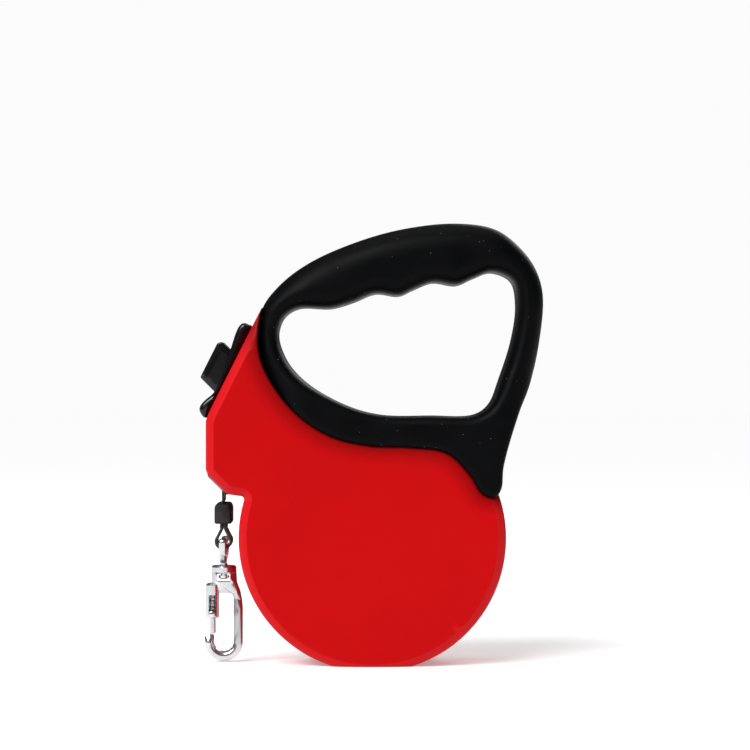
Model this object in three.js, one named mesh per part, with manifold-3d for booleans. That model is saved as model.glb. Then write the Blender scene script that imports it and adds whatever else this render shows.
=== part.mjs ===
// Retractable belt leash: a sprung reel in a two-part case, with a closed-loop grip, a thumb brake
// that locks the reel, and a webbing belt that ends in a swivel snap hook.
//
// Millimetres, +Z up. The leash stands on the flat under its round case, the brake and the belt
// mouth face -X, and the reel turns about a line along Y. The origin is under the middle.

import * as THREE from 'three';
import { mergeVertices } from 'three/addons/utils/BufferGeometryUtils.js';
import Module from 'manifold-3d';

const wasm = await Module();
wasm.setup();

// ---------------------------------------------------------------- driving dimensions

// Belt and reel
const beltLength = 4000;
const beltWidth = 12;
const beltThickness = 0.8;
const hubRadius = 12;
const flangeThickness = 1.8;
const flangeRim = 1.6;          // how far the flanges stand out past the full roll
const toothCount = 12;
const toothDepth = 4.6;
const axleRadius = 4;

// Case
const wall = 2.4;
const topWall = 1.6;            // where the case passes under the grip
const gap = 0.3;                // between fixed pieces that meet
const running = 0.4;            // between pieces that move past each other
const reelClearance = 1.2;
const bossRadius = 2.8;
const footFlat = 2;             // how much of the round case the standing flat cuts away
const floorThickness = 1.8;
const edgeRound = 3;            // rounding along the rim of the case
const noseReach = 11;           // nose in front of the round case
const noseTopAbove = 40.1;      // above the reel's axle
const mouthTopAbove = 22;
const mouthBottomAbove = 14.2;

// Spring side of the reel
const springWidth = 4;
const springThickness = 0.5;
const springPitch = 0.95;
const springCoils = 10;
const cupRadius = 29;
const cupWall = 1.6;
const coverThickness = 0.9;

// Grip
const handleLength = 94.3;
const handleHeight = 65.4;      // above the bottom of the hand opening
const webThickness = 1.9;       // grip over the round reel housing
const skirtFloor = 15.8;        // half width of the housing between the grip's skirts
const yokeHalfDepth = 18.2;
const gripHalfDepth = 13.2;
const gripRound = 2;
const gripWall = 2.4;

// Brake
const pressAngle = 45;          // the button travels towards the axle along this line
const brakeTravel = 4;
const lockTravel = 3;
const buttonHalfWidth = 7;
const buttonLow = -3;           // button's ends, measured across the press line
const buttonHigh = 10.7;
const buttonProud = 8.35;       // button's face above the slope
const pawlWidth = 5;
const bezelHalfWidth = 11;

// Belt end and snap hook
const guideRadius = 3;
const guidePin = 1.2;           // radius of the roller's pin
const pinGrip = 3.8;            // how far the pin goes past the flanges into its supports
const guideSupport = 2.9;
const mouthSide = 2.6;          // mouth insert past the belt on each side
const mouthFlange = 1.4;        // how far its hidden flange stands out past it
const mouthRoom = 0.9;          // beside the belt in the mouth
const stopHeight = 7;
const stopSide = 2;             // stop past the belt on each side
const eyeRoom = 0.9;            // beside the belt in the swivel eye
const eyeBar = 2.5;             // width of the swivel eye's side bars
const swivelPin = 1.2;
const hookHalfWidth = 6.5;
const hookThickness = 4.2;
const hookTravel = 5;

// ---------------------------------------------------------------- worked-out places

const rollRadius = Math.sqrt(hubRadius ** 2 + beltLength * beltThickness / Math.PI);
const flangeRadius = rollRadius + flangeRim;
const reelRoom = flangeRadius + reelClearance;
const housingRadius = reelRoom + topWall;
const caseRadius = reelRoom + 2 * bossRadius + wall;
const axleZ = caseRadius - footFlat;
const beltHalf = beltWidth / 2;
const flangeInner = beltHalf + running;
const flangeOuter = flangeInner + flangeThickness;
const springLow = flangeOuter + 0.5;
const cupRim = springLow + springWidth + 0.3;
const coverOuter = cupRim + gap + coverThickness;
const caseInner = coverOuter + running;
const caseHalf = caseInner + wall;
const saddle = axleZ + housingRadius + gap + webThickness;
const noseFront = -(caseRadius + noseReach);

// ---------------------------------------------------------------- small tools

const radians = (degrees) => degrees * Math.PI / 180;
const v2 = (x, z) => new THREE.Vector2(x, z);

function solid(geometry) {
  geometry.deleteAttribute('normal');
  geometry.deleteAttribute('uv');
  const merged = mergeVertices(geometry, 1e-4);
  const place = merged.getAttribute('position').array;
  const index = merged.getIndex().array;
  const kept = [];
  let volume = 0;
  const corner = [new THREE.Vector3(), new THREE.Vector3(), new THREE.Vector3()];
  for (let i = 0; i < index.length; i += 3) {
    const [a, b, c] = [index[i], index[i + 1], index[i + 2]];
    if (a === b || b === c || a === c) continue;
    kept.push(a, b, c);
    [a, b, c].forEach((n, k) => corner[k].fromArray(place, n * 3));
    volume += corner[0].dot(corner[1].cross(corner[2]));
  }
  if (volume < 0) kept.reverse();
  return new wasm.Manifold(new wasm.Mesh({
    numProp: 3,
    vertProperties: new Float32Array(place),
    triVerts: new Uint32Array(kept),
  }));
}

const join = (...solids) => solids.reduce((a, b) => a.add(b));
const cut = (body, ...tools) => tools.reduce((a, b) => a.subtract(b), body);

// An outline in X and Z, swept across the leash from yLow to yHigh, its rims rounded by edge.
function slab(outline, yLow, yHigh, edge = 0, holes = []) {
  const shape = new THREE.Shape(outline);
  shape.holes = holes.map((points) => new THREE.Path(points));
  const geometry = new THREE.ExtrudeGeometry(shape, {
    depth: yHigh - yLow - 2 * edge,
    steps: 1,
    bevelEnabled: edge > 0,
    bevelSize: edge,
    bevelThickness: edge,
    bevelOffset: -edge,
    bevelSegments: 2,
  });
  geometry.translate(0, 0, edge);
  geometry.rotateX(Math.PI / 2);
  geometry.translate(0, yHigh, 0);
  return solid(geometry);
}

// A profile of [radius, y] pairs turned about a line along Y.
function turned(profile, x, z, sides = 40) {
  const closed = profile.concat([profile[0]]).map(([r, y]) => v2(r, y));
  const geometry = new THREE.LatheGeometry(closed, sides);
  geometry.translate(x, 0, z);
  return solid(geometry);
}

function tube(inner, outer, yLow, yHigh, x, z, sides = 40) {
  return turned([[inner, yLow], [outer, yLow], [outer, yHigh], [inner, yHigh]], x, z, sides);
}

function rod(radius, yLow, yHigh, x, z, sides = 24) {
  const geometry = new THREE.CylinderGeometry(radius, radius, yHigh - yLow, sides);
  geometry.translate(x, (yLow + yHigh) / 2, z);
  return solid(geometry);
}

function post(radius, x, y, zLow, zHigh, sides = 20) {
  const geometry = new THREE.CylinderGeometry(radius, radius, zHigh - zLow, sides);
  geometry.rotateX(Math.PI / 2);
  geometry.translate(x, y, (zLow + zHigh) / 2);
  return solid(geometry);
}

function block(xLow, xHigh, yLow, yHigh, zLow, zHigh) {
  const geometry = new THREE.BoxGeometry(xHigh - xLow, yHigh - yLow, zHigh - zLow);
  geometry.translate((xLow + xHigh) / 2, (yLow + yHigh) / 2, (zLow + zHigh) / 2);
  return solid(geometry);
}

// A closed outline moved outwards (or inwards, below zero) by distance. Stretches that the move
// turns back on themselves, as at a tight tip, are left out.
function grown(outline, distance) {
  const turn = THREE.ShapeUtils.area(outline) > 0 ? 1 : -1;
  const moved = outline.map((here, i) => {
    const before = outline[(i + outline.length - 1) % outline.length];
    const after = outline[(i + 1) % outline.length];
    const a = here.clone().sub(before).normalize();
    const b = after.clone().sub(here).normalize();
    const normal = v2((a.y + b.y) * turn, -(a.x + b.x) * turn).normalize();
    const lean = Math.max(0.5, normal.dot(v2(a.y * turn, -a.x * turn)));
    return here.clone().addScaledVector(normal, distance / lean);
  });
  return moved.filter((point, i) => {
    const next = (i + 1) % outline.length;
    return moved[next].clone().sub(point).dot(outline[next].clone().sub(outline[i])) > 0;
  });
}

// A smooth closed outline through points, with some steps on each stretch.
function smooth(points, steps) {
  const curve = new THREE.CatmullRomCurve3(
    points.map((p) => new THREE.Vector3(p.x, p.y, 0)), true, 'centripetal');
  return curve.getPoints(points.length * steps).slice(0, -1).map((p) => v2(p.x, p.y));
}

function arc(x, z, radius, from, to, steps) {
  return Array.from({ length: steps + 1 }, (_, i) => {
    const angle = radians(from + (to - from) * i / steps);
    return v2(x + radius * Math.cos(angle), z + radius * Math.sin(angle));
  });
}

// A strip of even thickness along a path of points.
function strip(path, thickness) {
  const side = (sign) => path.map((here, i) => {
    const before = path[Math.max(0, i - 1)];
    const after = path[Math.min(path.length - 1, i + 1)];
    const along = after.clone().sub(before).normalize();
    return v2(here.x - sign * along.y * thickness / 2, here.y + sign * along.x * thickness / 2);
  });
  return side(1).concat(side(-1).reverse());
}

// A round wire coiled about a straight axis from one point to another.
function coilSpring(from, to, radius, wire, turns) {
  class Helix extends THREE.Curve {
    getPoint(t, target = new THREE.Vector3()) {
      const angle = 2 * Math.PI * turns * t;
      return target.copy(from).lerp(to, t)
        .addScaledVector(across, radius * Math.cos(angle))
        .addScaledVector(beside, radius * Math.sin(angle));
    }
  }
  const axis = to.clone().sub(from).normalize();
  const beside = new THREE.Vector3(0, 1, 0);
  const across = new THREE.Vector3().crossVectors(beside, axis).normalize();
  const section = new THREE.Shape(arc(0, 0, wire, 0, 360, 5).slice(0, -1));
  return solid(new THREE.ExtrudeGeometry(section, {
    steps: turns * 8, extrudePath: new Helix(), bevelEnabled: false,
  }));
}

// ---------------------------------------------------------------- outlines

// Points around the axle, by angle and radius
const around = (degrees, radius) => v2(
  radius * Math.cos(radians(degrees)), axleZ + radius * Math.sin(radians(degrees)));

// Points of the grip, in percent of its length and height, from its front and the saddle
const handleFront = -36.7;
const onGrip = (x, z) => v2(
  handleFront + x * handleLength / 100, saddle + z * handleHeight / 100);

const slopeTop = onGrip(-0.3, 56.6);
const slopeBottom = v2(noseFront, axleZ + noseTopAbove);

const gripOutside = smooth([
  onGrip(8.4, 6.3), v2(-22.5, saddle - 1.6), v2(-13, saddle - 6.9), v2(-1, saddle - 9.6),
  v2(13, saddle - 10.2), around(49, caseRadius - 7), around(33, caseRadius - 6),
  around(22, caseRadius - 5.2), around(18.6, caseRadius - 1.6), around(21, caseRadius + 1.3),
  around(29, caseRadius + 5.4), onGrip(90.8, 1.2), onGrip(95.1, 16.5), onGrip(98.5, 37.5),
  onGrip(100, 63), onGrip(97.2, 77), onGrip(91.5, 88), onGrip(83.1, 96.9), onGrip(68.6, 100),
  onGrip(46.9, 96.2), onGrip(26.6, 86.7), onGrip(14, 77.5), onGrip(5.3, 67.4),
  onGrip(-0.3, 56.6), onGrip(-2, 43.1), onGrip(-1.4, 31.5), onGrip(1.8, 19.9),
], 2);

// The hand opening, with its finger scallops along the top
const handOpening = smooth([
  onGrip(5.4, 45.9), onGrip(5.2, 39.3), onGrip(8.9, 26.9), onGrip(16.5, 15.9),
  onGrip(30.1, 5.2), onGrip(42.1, 0.6), onGrip(60, 0.2), onGrip(76, 0.8), onGrip(81.2, 6.1),
  onGrip(85, 20), onGrip(89.4, 41), onGrip(90.8, 58.4), onGrip(88.9, 70.2),
  onGrip(81.7, 74.7), onGrip(75, 71.5), onGrip(69.1, 68), onGrip(60.5, 69.4),
  onGrip(53.5, 65.6), onGrip(48.4, 62.5), onGrip(40, 63.6), onGrip(32, 59.2),
  onGrip(24.1, 56), onGrip(12.5, 56), onGrip(7.6, 52),
], 2);

// The red body: slope, nose with its cut-off corner, round case, and a hidden edge inside the grip
const slopeRun = slopeBottom.clone().sub(slopeTop);
const slopeDown = slopeRun.clone().normalize();
const slopeOut = v2(slopeDown.y, -slopeDown.x);
const onSlope = (along, height) => slopeTop.clone()
  .addScaledVector(slopeDown, along).addScaledVector(slopeOut, height);

const mouthTop = v2(noseFront, axleZ + mouthTopAbove);
const noseDrop = mouthTopAbove - mouthBottomAbove;
const mouthBottom = v2(noseFront + noseDrop, axleZ + mouthBottomAbove);
const chin = 180 - Math.asin(mouthBottomAbove / caseRadius) * 180 / Math.PI;
const body = [
  onSlope(-3.4, 0), slopeBottom, mouthTop, mouthBottom,
  ...arc(0, axleZ, caseRadius, chin, 378, 40),
  v2(34, saddle - 4), onGrip(30, 50),
];

// ---------------------------------------------------------------- brake frame

// Across and along the press line, which starts at the axle
const pressBack = v2(-Math.cos(radians(pressAngle)), Math.sin(radians(pressAngle)));
const pressSide = v2(Math.sin(radians(pressAngle)), Math.cos(radians(pressAngle)));
const onPress = (along, across) => v2(0, axleZ)
  .addScaledVector(pressBack, along).addScaledVector(pressSide, across);

// The point at a distance across the press line and a height above the slope
const pressLean = pressBack.dot(slopeOut);
function onButton(across, height) {
  const foot = onPress(0, across);
  const reach = (height + slopeTop.clone().sub(foot).dot(slopeOut)) / pressLean;
  return foot.addScaledVector(pressBack, reach);
}
const lockShift = lockTravel * slopeDown.dot(pressSide);

// A prism between two lines along the press and two heights above the slope
function brakePrism(low, high, bottom, top, halfWidth) {
  return slab([onButton(low, bottom), onButton(low, top), onButton(high, top),
    onButton(high, bottom)], -halfWidth, halfWidth);
}

// ---------------------------------------------------------------- belt path

const mouthMiddle = mouthTop.clone().add(mouthBottom).multiplyScalar(0.5);
const mouthOut = v2(-Math.SQRT1_2, -Math.SQRT1_2);
const mouthDown = v2(Math.SQRT1_2, -Math.SQRT1_2);
const onMouth = (along, out) => mouthMiddle.clone()
  .addScaledVector(mouthDown, along).addScaledVector(mouthOut, out);
const insertDepth = 3.2;
const guide = onMouth(0.6, -(insertDepth + guideRadius + 0.5));
const guideWrap = guideRadius + gap + beltThickness / 2;
const rollWrap = rollRadius + gap + beltThickness / 2;
const guideDistance = Math.hypot(guide.x, guide.y - axleZ);
const runAngle = Math.atan2(guide.y - axleZ, guide.x) * 180 / Math.PI
  - Math.acos((rollWrap - guideWrap) / guideDistance) * 180 / Math.PI;
const leadX = guide.x - guideWrap;
const beltChannel = 1.4;        // room beside the belt on its way to the mouth
const pinHalf = flangeOuter + pinGrip;
const leadPivot = v2(leadX, mouthMiddle.y - (leadX - mouthMiddle.x) - 0.9);
const bendRoom = beltThickness / 2 + 0.15; // the belt's ends stop this far from the swing line
const beltPath = [
  ...arc(0, axleZ, rollWrap, runAngle - 24, runAngle, 5),
  ...arc(guide.x, guide.y, guideWrap, runAngle, 180, 7),
  v2(leadX, leadPivot.y + bendRoom),
];
const stopTop = leadPivot.y - 4.3;
const stopBottom = stopTop - stopHeight;
const eyeZ = stopBottom - 6;
const hookTop = eyeZ - 8.4;

// ---------------------------------------------------------------- fasteners

const caseScrews = [
  ['case_screw_front', onMouth(0, 0).add(v2(2, 15.4))],
  ['case_screw_low_front', around(-130, caseRadius - wall - bossRadius)],
  ['case_screw_low_back', around(-50, caseRadius - wall - bossRadius)],
  ['case_screw_back', around(3, caseRadius - wall - bossRadius)],
];
const gripScrews = [
  ['grip_screw_front_leg', onGrip(13.3, 10.3)],
  ['grip_screw_front_top', onGrip(15.6, 66.8)],
  ['grip_screw_back_top', onGrip(88.4, 81.6)],
  ['grip_screw_back_leg', onGrip(89.3, 11.2)],
];
const headRadius = 2;
const headHeight = 1.6;
const shankRadius = 0.9;
const screwReach = 8;           // how far the shank passes the parting line
const gripHeadSeat = 9.6;
const caseHeadSeat = caseHalf - 2.6;
const bossClear = 0.25;

function screw([, at], seat) {
  const head = rod(headRadius, seat, seat + headHeight, at.x, at.y, 12);
  const shank = rod(shankRadius, -screwReach, seat + 0.1, at.x, at.y, 8);
  const slot = (wide, tall) => block(at.x - wide, at.x + wide, seat + 0.7, seat + 3,
    at.y - tall, at.y + tall);
  return cut(join(head, shank), slot(1.2, 0.3), slot(0.3, 1.2));
}

function screwHole([, at], seat) {
  return join(
    rod(headRadius + bossClear, seat - bossClear, caseHalf + 5, at.x, at.y, 12),
    rod(shankRadius + bossClear, -screwReach - 0.6, seat, at.x, at.y, 8));
}

const boss = ([, at], half) => rod(bossRadius, -half, half, at.x, at.y, 14);

// ---------------------------------------------------------------- case

const wide = 60;                // reaches past every side face
const bodyRoom = cut(slab(grown(body, -wall), -caseInner, caseInner),
  slab(grown(gripOutside, gap + wall), -wide, wide),
  block(-wide, wide, -wide, wide, -wide, floorThickness));
const reelRoomSolid = rod(reelRoom, -caseInner, caseInner, 0, axleZ, 40);
const mouthHalf = beltHalf + mouthSide;
const mouthBlock = (along, low, high, half) => slab([onMouth(-along, high), onMouth(-along, low),
  onMouth(along, low), onMouth(along, high)], -half, half);
const mouthPocket = join(mouthBlock(5.2, -5, 3, mouthHalf + gap),
  mouthBlock(6, -5, -1.5, mouthHalf + mouthFlange + gap));
const brakeWindow = brakePrism(buttonLow + lockShift - 0.7, buttonHigh + 0.5, -12, 12,
  buttonHalfWidth + running);
const bezelTabs = [13.4, 38.6];
const tabDepth = 3;
const tabSlot = (along, more) => slab([onSlope(along - 0.8 - more, 0.5),
  onSlope(along + 0.8 + more, 0.5), onSlope(along + 0.8 + more, -tabDepth - more),
  onSlope(along - 0.8 - more, -tabDepth - more)], -3 - more, 3 + more);
const axleSocketDepth = 1;
const socketWall = 2.6;
const squareHalf = 2.6;         // the arbor's square ends
const seatLow = 42.6;           // brake spring's seat, along the press line
const seatHigh = 44.4;
const socketLow = -flangeOuter - 3.2;
const socketHigh = coverOuter + 0.1;

function caseWhole() {
  const outside = join(
    cut(slab(body, -caseHalf, caseHalf, edgeRound),
      slab(grown(gripOutside, gap), -wide, wide)),
    rod(housingRadius, -skirtFloor, skirtFloor, 0, axleZ, 40));
  let shell = cut(outside, bodyRoom, reelRoomSolid, block(-wide, wide, -wide, wide, -wide, 0));
  // Screw bosses, guide roller supports, brake spring seat and axle sockets, kept inside the case
  const guidePosts = cut(rod(guideSupport, -caseInner - 1, caseInner + 1, guide.x, guide.y, 20),
    rod(6, -flangeOuter + 0.6, flangeOuter - 0.6, guide.x, guide.y, 20));
  const seat = slab([onPress(seatLow, 3.2), onPress(seatHigh, 3.2), onPress(seatHigh, 12),
    onPress(seatLow, 12)], -caseInner - 1, caseInner + 1);
  const sockets = cut(rod(axleRadius + socketWall, -caseInner - 1, caseInner + 1, 0, axleZ, 28),
    rod(axleRadius + 6, socketLow, socketHigh, 0, axleZ, 28));
  const inner = join(...caseScrews.map((s) => boss(s, caseInner + 1)), guidePosts, sockets,
    seat);
  const allowed = join(cut(slab(grown(body, -1.2), -caseHalf + 1, caseHalf - 1),
    slab(grown(gripOutside, gap + 1), -wide, wide)), rod(housingRadius - 0.8,
    -skirtFloor + 0.5, skirtFloor - 0.5, 0, axleZ, 40));
  shell = join(shell, inner.intersect(allowed));
  const hole = squareHalf + gap;
  const axleHole = block(-hole, hole, -caseInner - axleSocketDepth - 0.2,
    caseInner + axleSocketDepth + 0.2, axleZ - hole, axleZ + hole);
  const channel = slab(strip(beltPath, beltThickness + beltChannel),
    -beltWidth / 2 - 0.7, beltWidth / 2 + 0.7);
  return cut(shell, mouthPocket, channel, brakeWindow, ...bezelTabs.map((t) => tabSlot(t, gap)),
    ...caseScrews.map((s) => screwHole(s, caseHeadSeat)), axleHole,
    rod(guidePin + gap, -pinHalf - 0.4, pinHalf + 0.4, guide.x, guide.y, 16));
}
const wholeCase = caseWhole();
const leftHalf = block(-2 * wide, 2 * wide, -wide, -gap / 2, -wide, 4 * wide);
const rightHalf = block(-2 * wide, 2 * wide, gap / 2, wide, -wide, 4 * wide);

// ---------------------------------------------------------------- grip

// The grip narrows in a straight line from the saddle to its top
const taper = (z) => yokeHalfDepth
  + (gripHalfDepth - yokeHalfDepth) * (z - saddle) / handleHeight;

function tapered(shape, inset) {
  return shape.warp((p) => {
    p[1] *= (taper(p[2]) - inset) / yokeHalfDepth;
  });
}

function gripWhole() {
  const loop = tapered(slab(gripOutside, -yokeHalfDepth, yokeHalfDepth, gripRound,
    [handOpening]), 0).intersect(block(-wide, wide, -yokeHalfDepth, yokeHalfDepth, 0, 4 * wide));
  const hollow = tapered(cut(slab(grown(gripOutside, -gripWall), -yokeHalfDepth, yokeHalfDepth),
    slab(grown(handOpening, gripWall), -wide, wide)), gripWall)
    .intersect(block(-wide, wide, -wide, wide, saddle + 3, 4 * wide));
  const housing = rod(housingRadius + gap, -skirtFloor - gap, skirtFloor + gap, 0, axleZ, 40);
  const bosses = join(...gripScrews.map((s) => boss(s, 2 * yokeHalfDepth))).intersect(loop);
  return cut(join(cut(loop, hollow), bosses), housing,
    ...gripScrews.map((s) => screwHole(s, gripHeadSeat)));
}
const wholeGrip = gripWhole();

// ---------------------------------------------------------------- brake

function brakeBezel() {
  const ridge = [[7.9, 0.3], [7.4, 3], [9.2, 4.1], [12.4, 4.1], [17.4, 3.3], [20.5, 2.9],
    [25.5, 2], [29.7, 1.7], [33.6, 1.9], [36.9, 3.3], [39.4, 3.8], [41.2, 3], [42, 0.3]];
  const saddlePiece = slab(ridge.map(([t, h]) => onSlope(t, h)), -bezelHalfWidth,
    bezelHalfWidth);
  return cut(join(saddlePiece, ...bezelTabs.map((t) => tabSlot(t, 0))), brakeWindow);
}

const wingLow = 3.6;
const wingTop = 6.2;
const wingHalfWidth = 5;
const stemHalfWidth = 3.2;
const headEnds = [buttonLow + 1.8, buttonHigh - 1.8 + lockShift - 0.4];

function brakeButton() {
  const outside = brakePrism(buttonLow, buttonHigh, -0.4, buttonProud, buttonHalfWidth);
  const room = brakePrism(buttonLow + 1.4, buttonHigh - 1.4, wingLow - running,
    wingTop + running, wingHalfWidth + running);
  const slot = brakePrism(buttonLow + 1.4, buttonHigh - 1.4, -2, wingLow, stemHalfWidth
    + running);
  return cut(outside, room, slot);
}

const springSpot = 4.6;         // brake spring, across the press line
const beltOnPress = 44.1;       // where the belt's run crosses the press line, from the axle
const bridgeLow = beltOnPress + brakeTravel + 0.9;
function brakePlunger() {
  const [low, high] = headEnds;
  const head = brakePrism(low, high, wingLow, wingTop, wingHalfWidth);
  const press = (a, b, m, n, half) => slab([onPress(a, m), onPress(a, n), onPress(b, n),
    onPress(b, m)], -half, half);
  const neck = slab([onPress(56, low), onButton(low, wingLow + 0.3),
    onButton(high, wingLow + 0.3), onPress(56, high)], -stemHalfWidth, stemHalfWidth);
  const stem = press(stemLow, 62, -pawlWidth / 2, springSpot + 2.6, 5);
  // A fork over the belt, with a prong above each flange's teeth
  const bridge = press(bridgeLow, 60, -pawlWidth / 2, pawlWidth / 2, flangeOuter);
  const prongs = cut(press(flangeRadius + 0.8, bridgeLow + 1, -pawlWidth / 2, pawlWidth / 2,
    flangeOuter), block(-wide, wide, -flangeInner, flangeInner, 0, 3 * wide));
  return join(head, neck, stem, bridge, prongs);
}

const to3 = (p, y = 0) => new THREE.Vector3(p.x, y, p.y);
const stemLow = 54;
const brakeSpring = () => coilSpring(to3(onPress(seatHigh + 0.5, springSpot)),
  to3(onPress(stemLow - 0.7, springSpot)), 1.5, 0.3, 5);

// ---------------------------------------------------------------- reel

// Ratchet gaps are centred on the pawl's line
function toothedFlange(yLow, yHigh) {
  const pitch = 360 / toothCount;
  const gapHalf = pitch * 0.3;
  const rim = [];
  for (let i = 0; i < toothCount; i += 1) {
    const middle = 180 - pressAngle + i * pitch;
    rim.push(...arc(0, axleZ, flangeRadius - toothDepth, middle - gapHalf, middle + gapHalf, 2));
    rim.push(...arc(0, axleZ, flangeRadius, middle + gapHalf + 1, middle + pitch - gapHalf - 1, 2));
  }
  return slab(rim, yLow, yHigh);
}

const bushRadius = 5.9;
function reelDrum() {
  const flange = toothedFlange(-flangeOuter, -flangeInner);
  const hub = rod(hubRadius, -flangeOuter, flangeInner - gap, 0, axleZ, 40);
  const journal = rod(9, -flangeOuter - 1.8, -flangeOuter + 0.5, 0, axleZ, 24);
  const spigot = rod(hubRadius - 2, 0, flangeOuter - 0.2, 0, axleZ, 24);
  return cut(join(flange, hub, journal, spigot),
    rod(bushRadius + gap, -20, 20, 0, axleZ, 24));
}

function springCup() {
  const flange = toothedFlange(flangeInner, flangeOuter);
  const cup = tube(cupRadius - cupWall, cupRadius, flangeOuter - 0.5, cupRim, 0, axleZ, 36);
  return cut(join(flange, cup), rod(hubRadius - 2 + gap, 0, 20, 0, axleZ, 24));
}

function mainspring() {
  const inner = axleRadius + 1;
  const packed = cupRadius - cupWall - 0.8 - springPitch * springCoils;
  const path = [v2(1.4, axleZ), v2(3, axleZ), v2(inner, axleZ + 0.3)];
  const arm = 16;
  for (let i = 1; i <= arm; i += 1) {
    path.push(around(420 * i / arm, inner + (packed - inner) * i / arm));
  }
  const steps = 14 * springCoils;
  for (let i = 1; i <= steps; i += 1) {
    path.push(around(420 + 360 * springCoils * i / steps, packed + springPitch * springCoils
      * i / steps));
  }
  return slab(strip(path, springThickness), springLow, springLow + springWidth);
}

function arbor() {
  const shaft = rod(axleRadius, socketLow + gap, socketHigh - gap, 0, axleZ, 24);
  const square = block(-squareHalf, squareHalf, -caseInner - axleSocketDepth,
    caseInner + axleSocketDepth, axleZ - squareHalf, axleZ + squareHalf);
  return cut(join(shaft, square), block(-axleRadius + 1.2, axleRadius + 1, springLow - 0.3,
    springLow + springWidth + 0.3, axleZ - 0.55, axleZ + 0.75));
}

const bushBore = axleRadius + gap;
const bushLeft = () => turned([
  [bushBore, -flangeOuter - 2.8], [bushRadius + 1.6, -flangeOuter - 2.8],
  [bushRadius + 1.6, -flangeOuter - 2.1], [bushRadius, -flangeOuter - 2.1],
  [bushRadius, -1], [bushBore, -1],
], 0, axleZ, 24);
const bushRight = () => tube(bushBore, bushRadius, 0.6, flangeOuter - 0.4, 0, axleZ, 24);

// ---------------------------------------------------------------- belt

const woundBelt = () => tube(hubRadius + gap, rollRadius, -beltHalf, beltHalf, 0, axleZ, 40);

const beltRun = () => slab(strip(beltPath, beltThickness), -beltHalf, beltHalf);

const loopRadius = 2.5;
function beltLead() {
  const layer = beltThickness / 2 + 0.25;
  const path = [
    v2(leadX, leadPivot.y - gap), v2(leadX - 0.1, stopTop + 1), v2(leadX - layer, stopTop - 0.5),
    v2(leadX - layer, eyeZ + loopRadius + 1.6),
    ...arc(leadX, eyeZ, loopRadius, 140, 400, 12),
    v2(leadX + layer, eyeZ + loopRadius + 1.6), v2(leadX + layer, stopTop - 1.2),
  ];
  return slab(strip(path, beltThickness), -beltHalf, beltHalf);
}

function beltStop() {
  const outside = slab([v2(leadX - 2.2, stopTop), v2(leadX + 2.2, stopTop),
    v2(leadX + 2.9, stopTop - 1.4), v2(leadX + 2.9, stopBottom), v2(leadX - 2.9, stopBottom),
    v2(leadX - 2.9, stopTop - 1.4)], -beltHalf - stopSide, beltHalf + stopSide, 0.6);
  const layers = beltThickness + 0.25 + gap;
  return cut(outside, block(leadX - layers, leadX + layers, -beltHalf - gap, beltHalf + gap,
    stopBottom - 1, stopTop + 1));
}

function mouthInsert() {
  const outside = join(mouthBlock(4.9, -2.5, 0.8, mouthHalf),
    mouthBlock(5.6, -insertDepth, -1.8, mouthHalf + mouthFlange));
  const room = slab([onMouth(-3.2, 2), onMouth(-3.2, -5), onMouth(3.9, -5), onMouth(3.9, 2)],
    -beltHalf - mouthRoom, beltHalf + mouthRoom);
  return cut(outside, room);
}

const guideRoller = () => tube(guidePin + gap, guideRadius, -beltHalf - 1, beltHalf + 1, guide.x,
  guide.y, 24);
const rollerPin = () => rod(guidePin, -pinHalf, pinHalf, guide.x, guide.y, 16);

// ---------------------------------------------------------------- snap hook

// An outline in Y and Z, swept along X about the lead's line
function crosswise(outline, half, edge = 0, holes = []) {
  return slab(outline, -half, half, edge, holes)
    .rotate([0, 0, 90]).translate([leadX, 0, 0]);
}

function swivelEye() {
  const bar = 1.2;
  const room = beltHalf + eyeRoom;
  const half = room + eyeBar;
  const side = half - 0.8;
  const frame = [v2(-side, eyeZ + bar), v2(-half, eyeZ), v2(-side, eyeZ - 4),
    v2(-3.4, hookTop + 0.8), v2(3.4, hookTop + 0.8), v2(side, eyeZ - 4), v2(half, eyeZ),
    v2(side, eyeZ + bar)];
  const hole = [v2(-room, eyeZ - bar), v2(-room, eyeZ - 3.2), v2(-2.6, eyeZ - 5.4),
    v2(2.6, eyeZ - 5.4), v2(room, eyeZ - 3.2), v2(room, eyeZ - bar)];
  return join(crosswise(frame, 1.3, 0.3, [hole]),
    post(swivelPin, leadX, 0, hookTop - 4.4, hookTop + 1.5, 16),
    post(1.9, leadX, 0, hookTop - 4.6, hookTop - 3.3, 16));
}

const hookFloor = hookTop - 32.4;
const hookInner = hookHalfWidth - 3.2;
const bendZ = hookFloor + hookHalfWidth;
const tipZ = bendZ + 2.4;
const barrelX = leadX - 3.9;
const barrelLow = tipZ + 5.5;
const barrelHigh = hookTop - 6;
const boltRadius = 1.2;
const boltTop = barrelLow + 2.5;
const boreRoom = 0.35;

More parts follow.
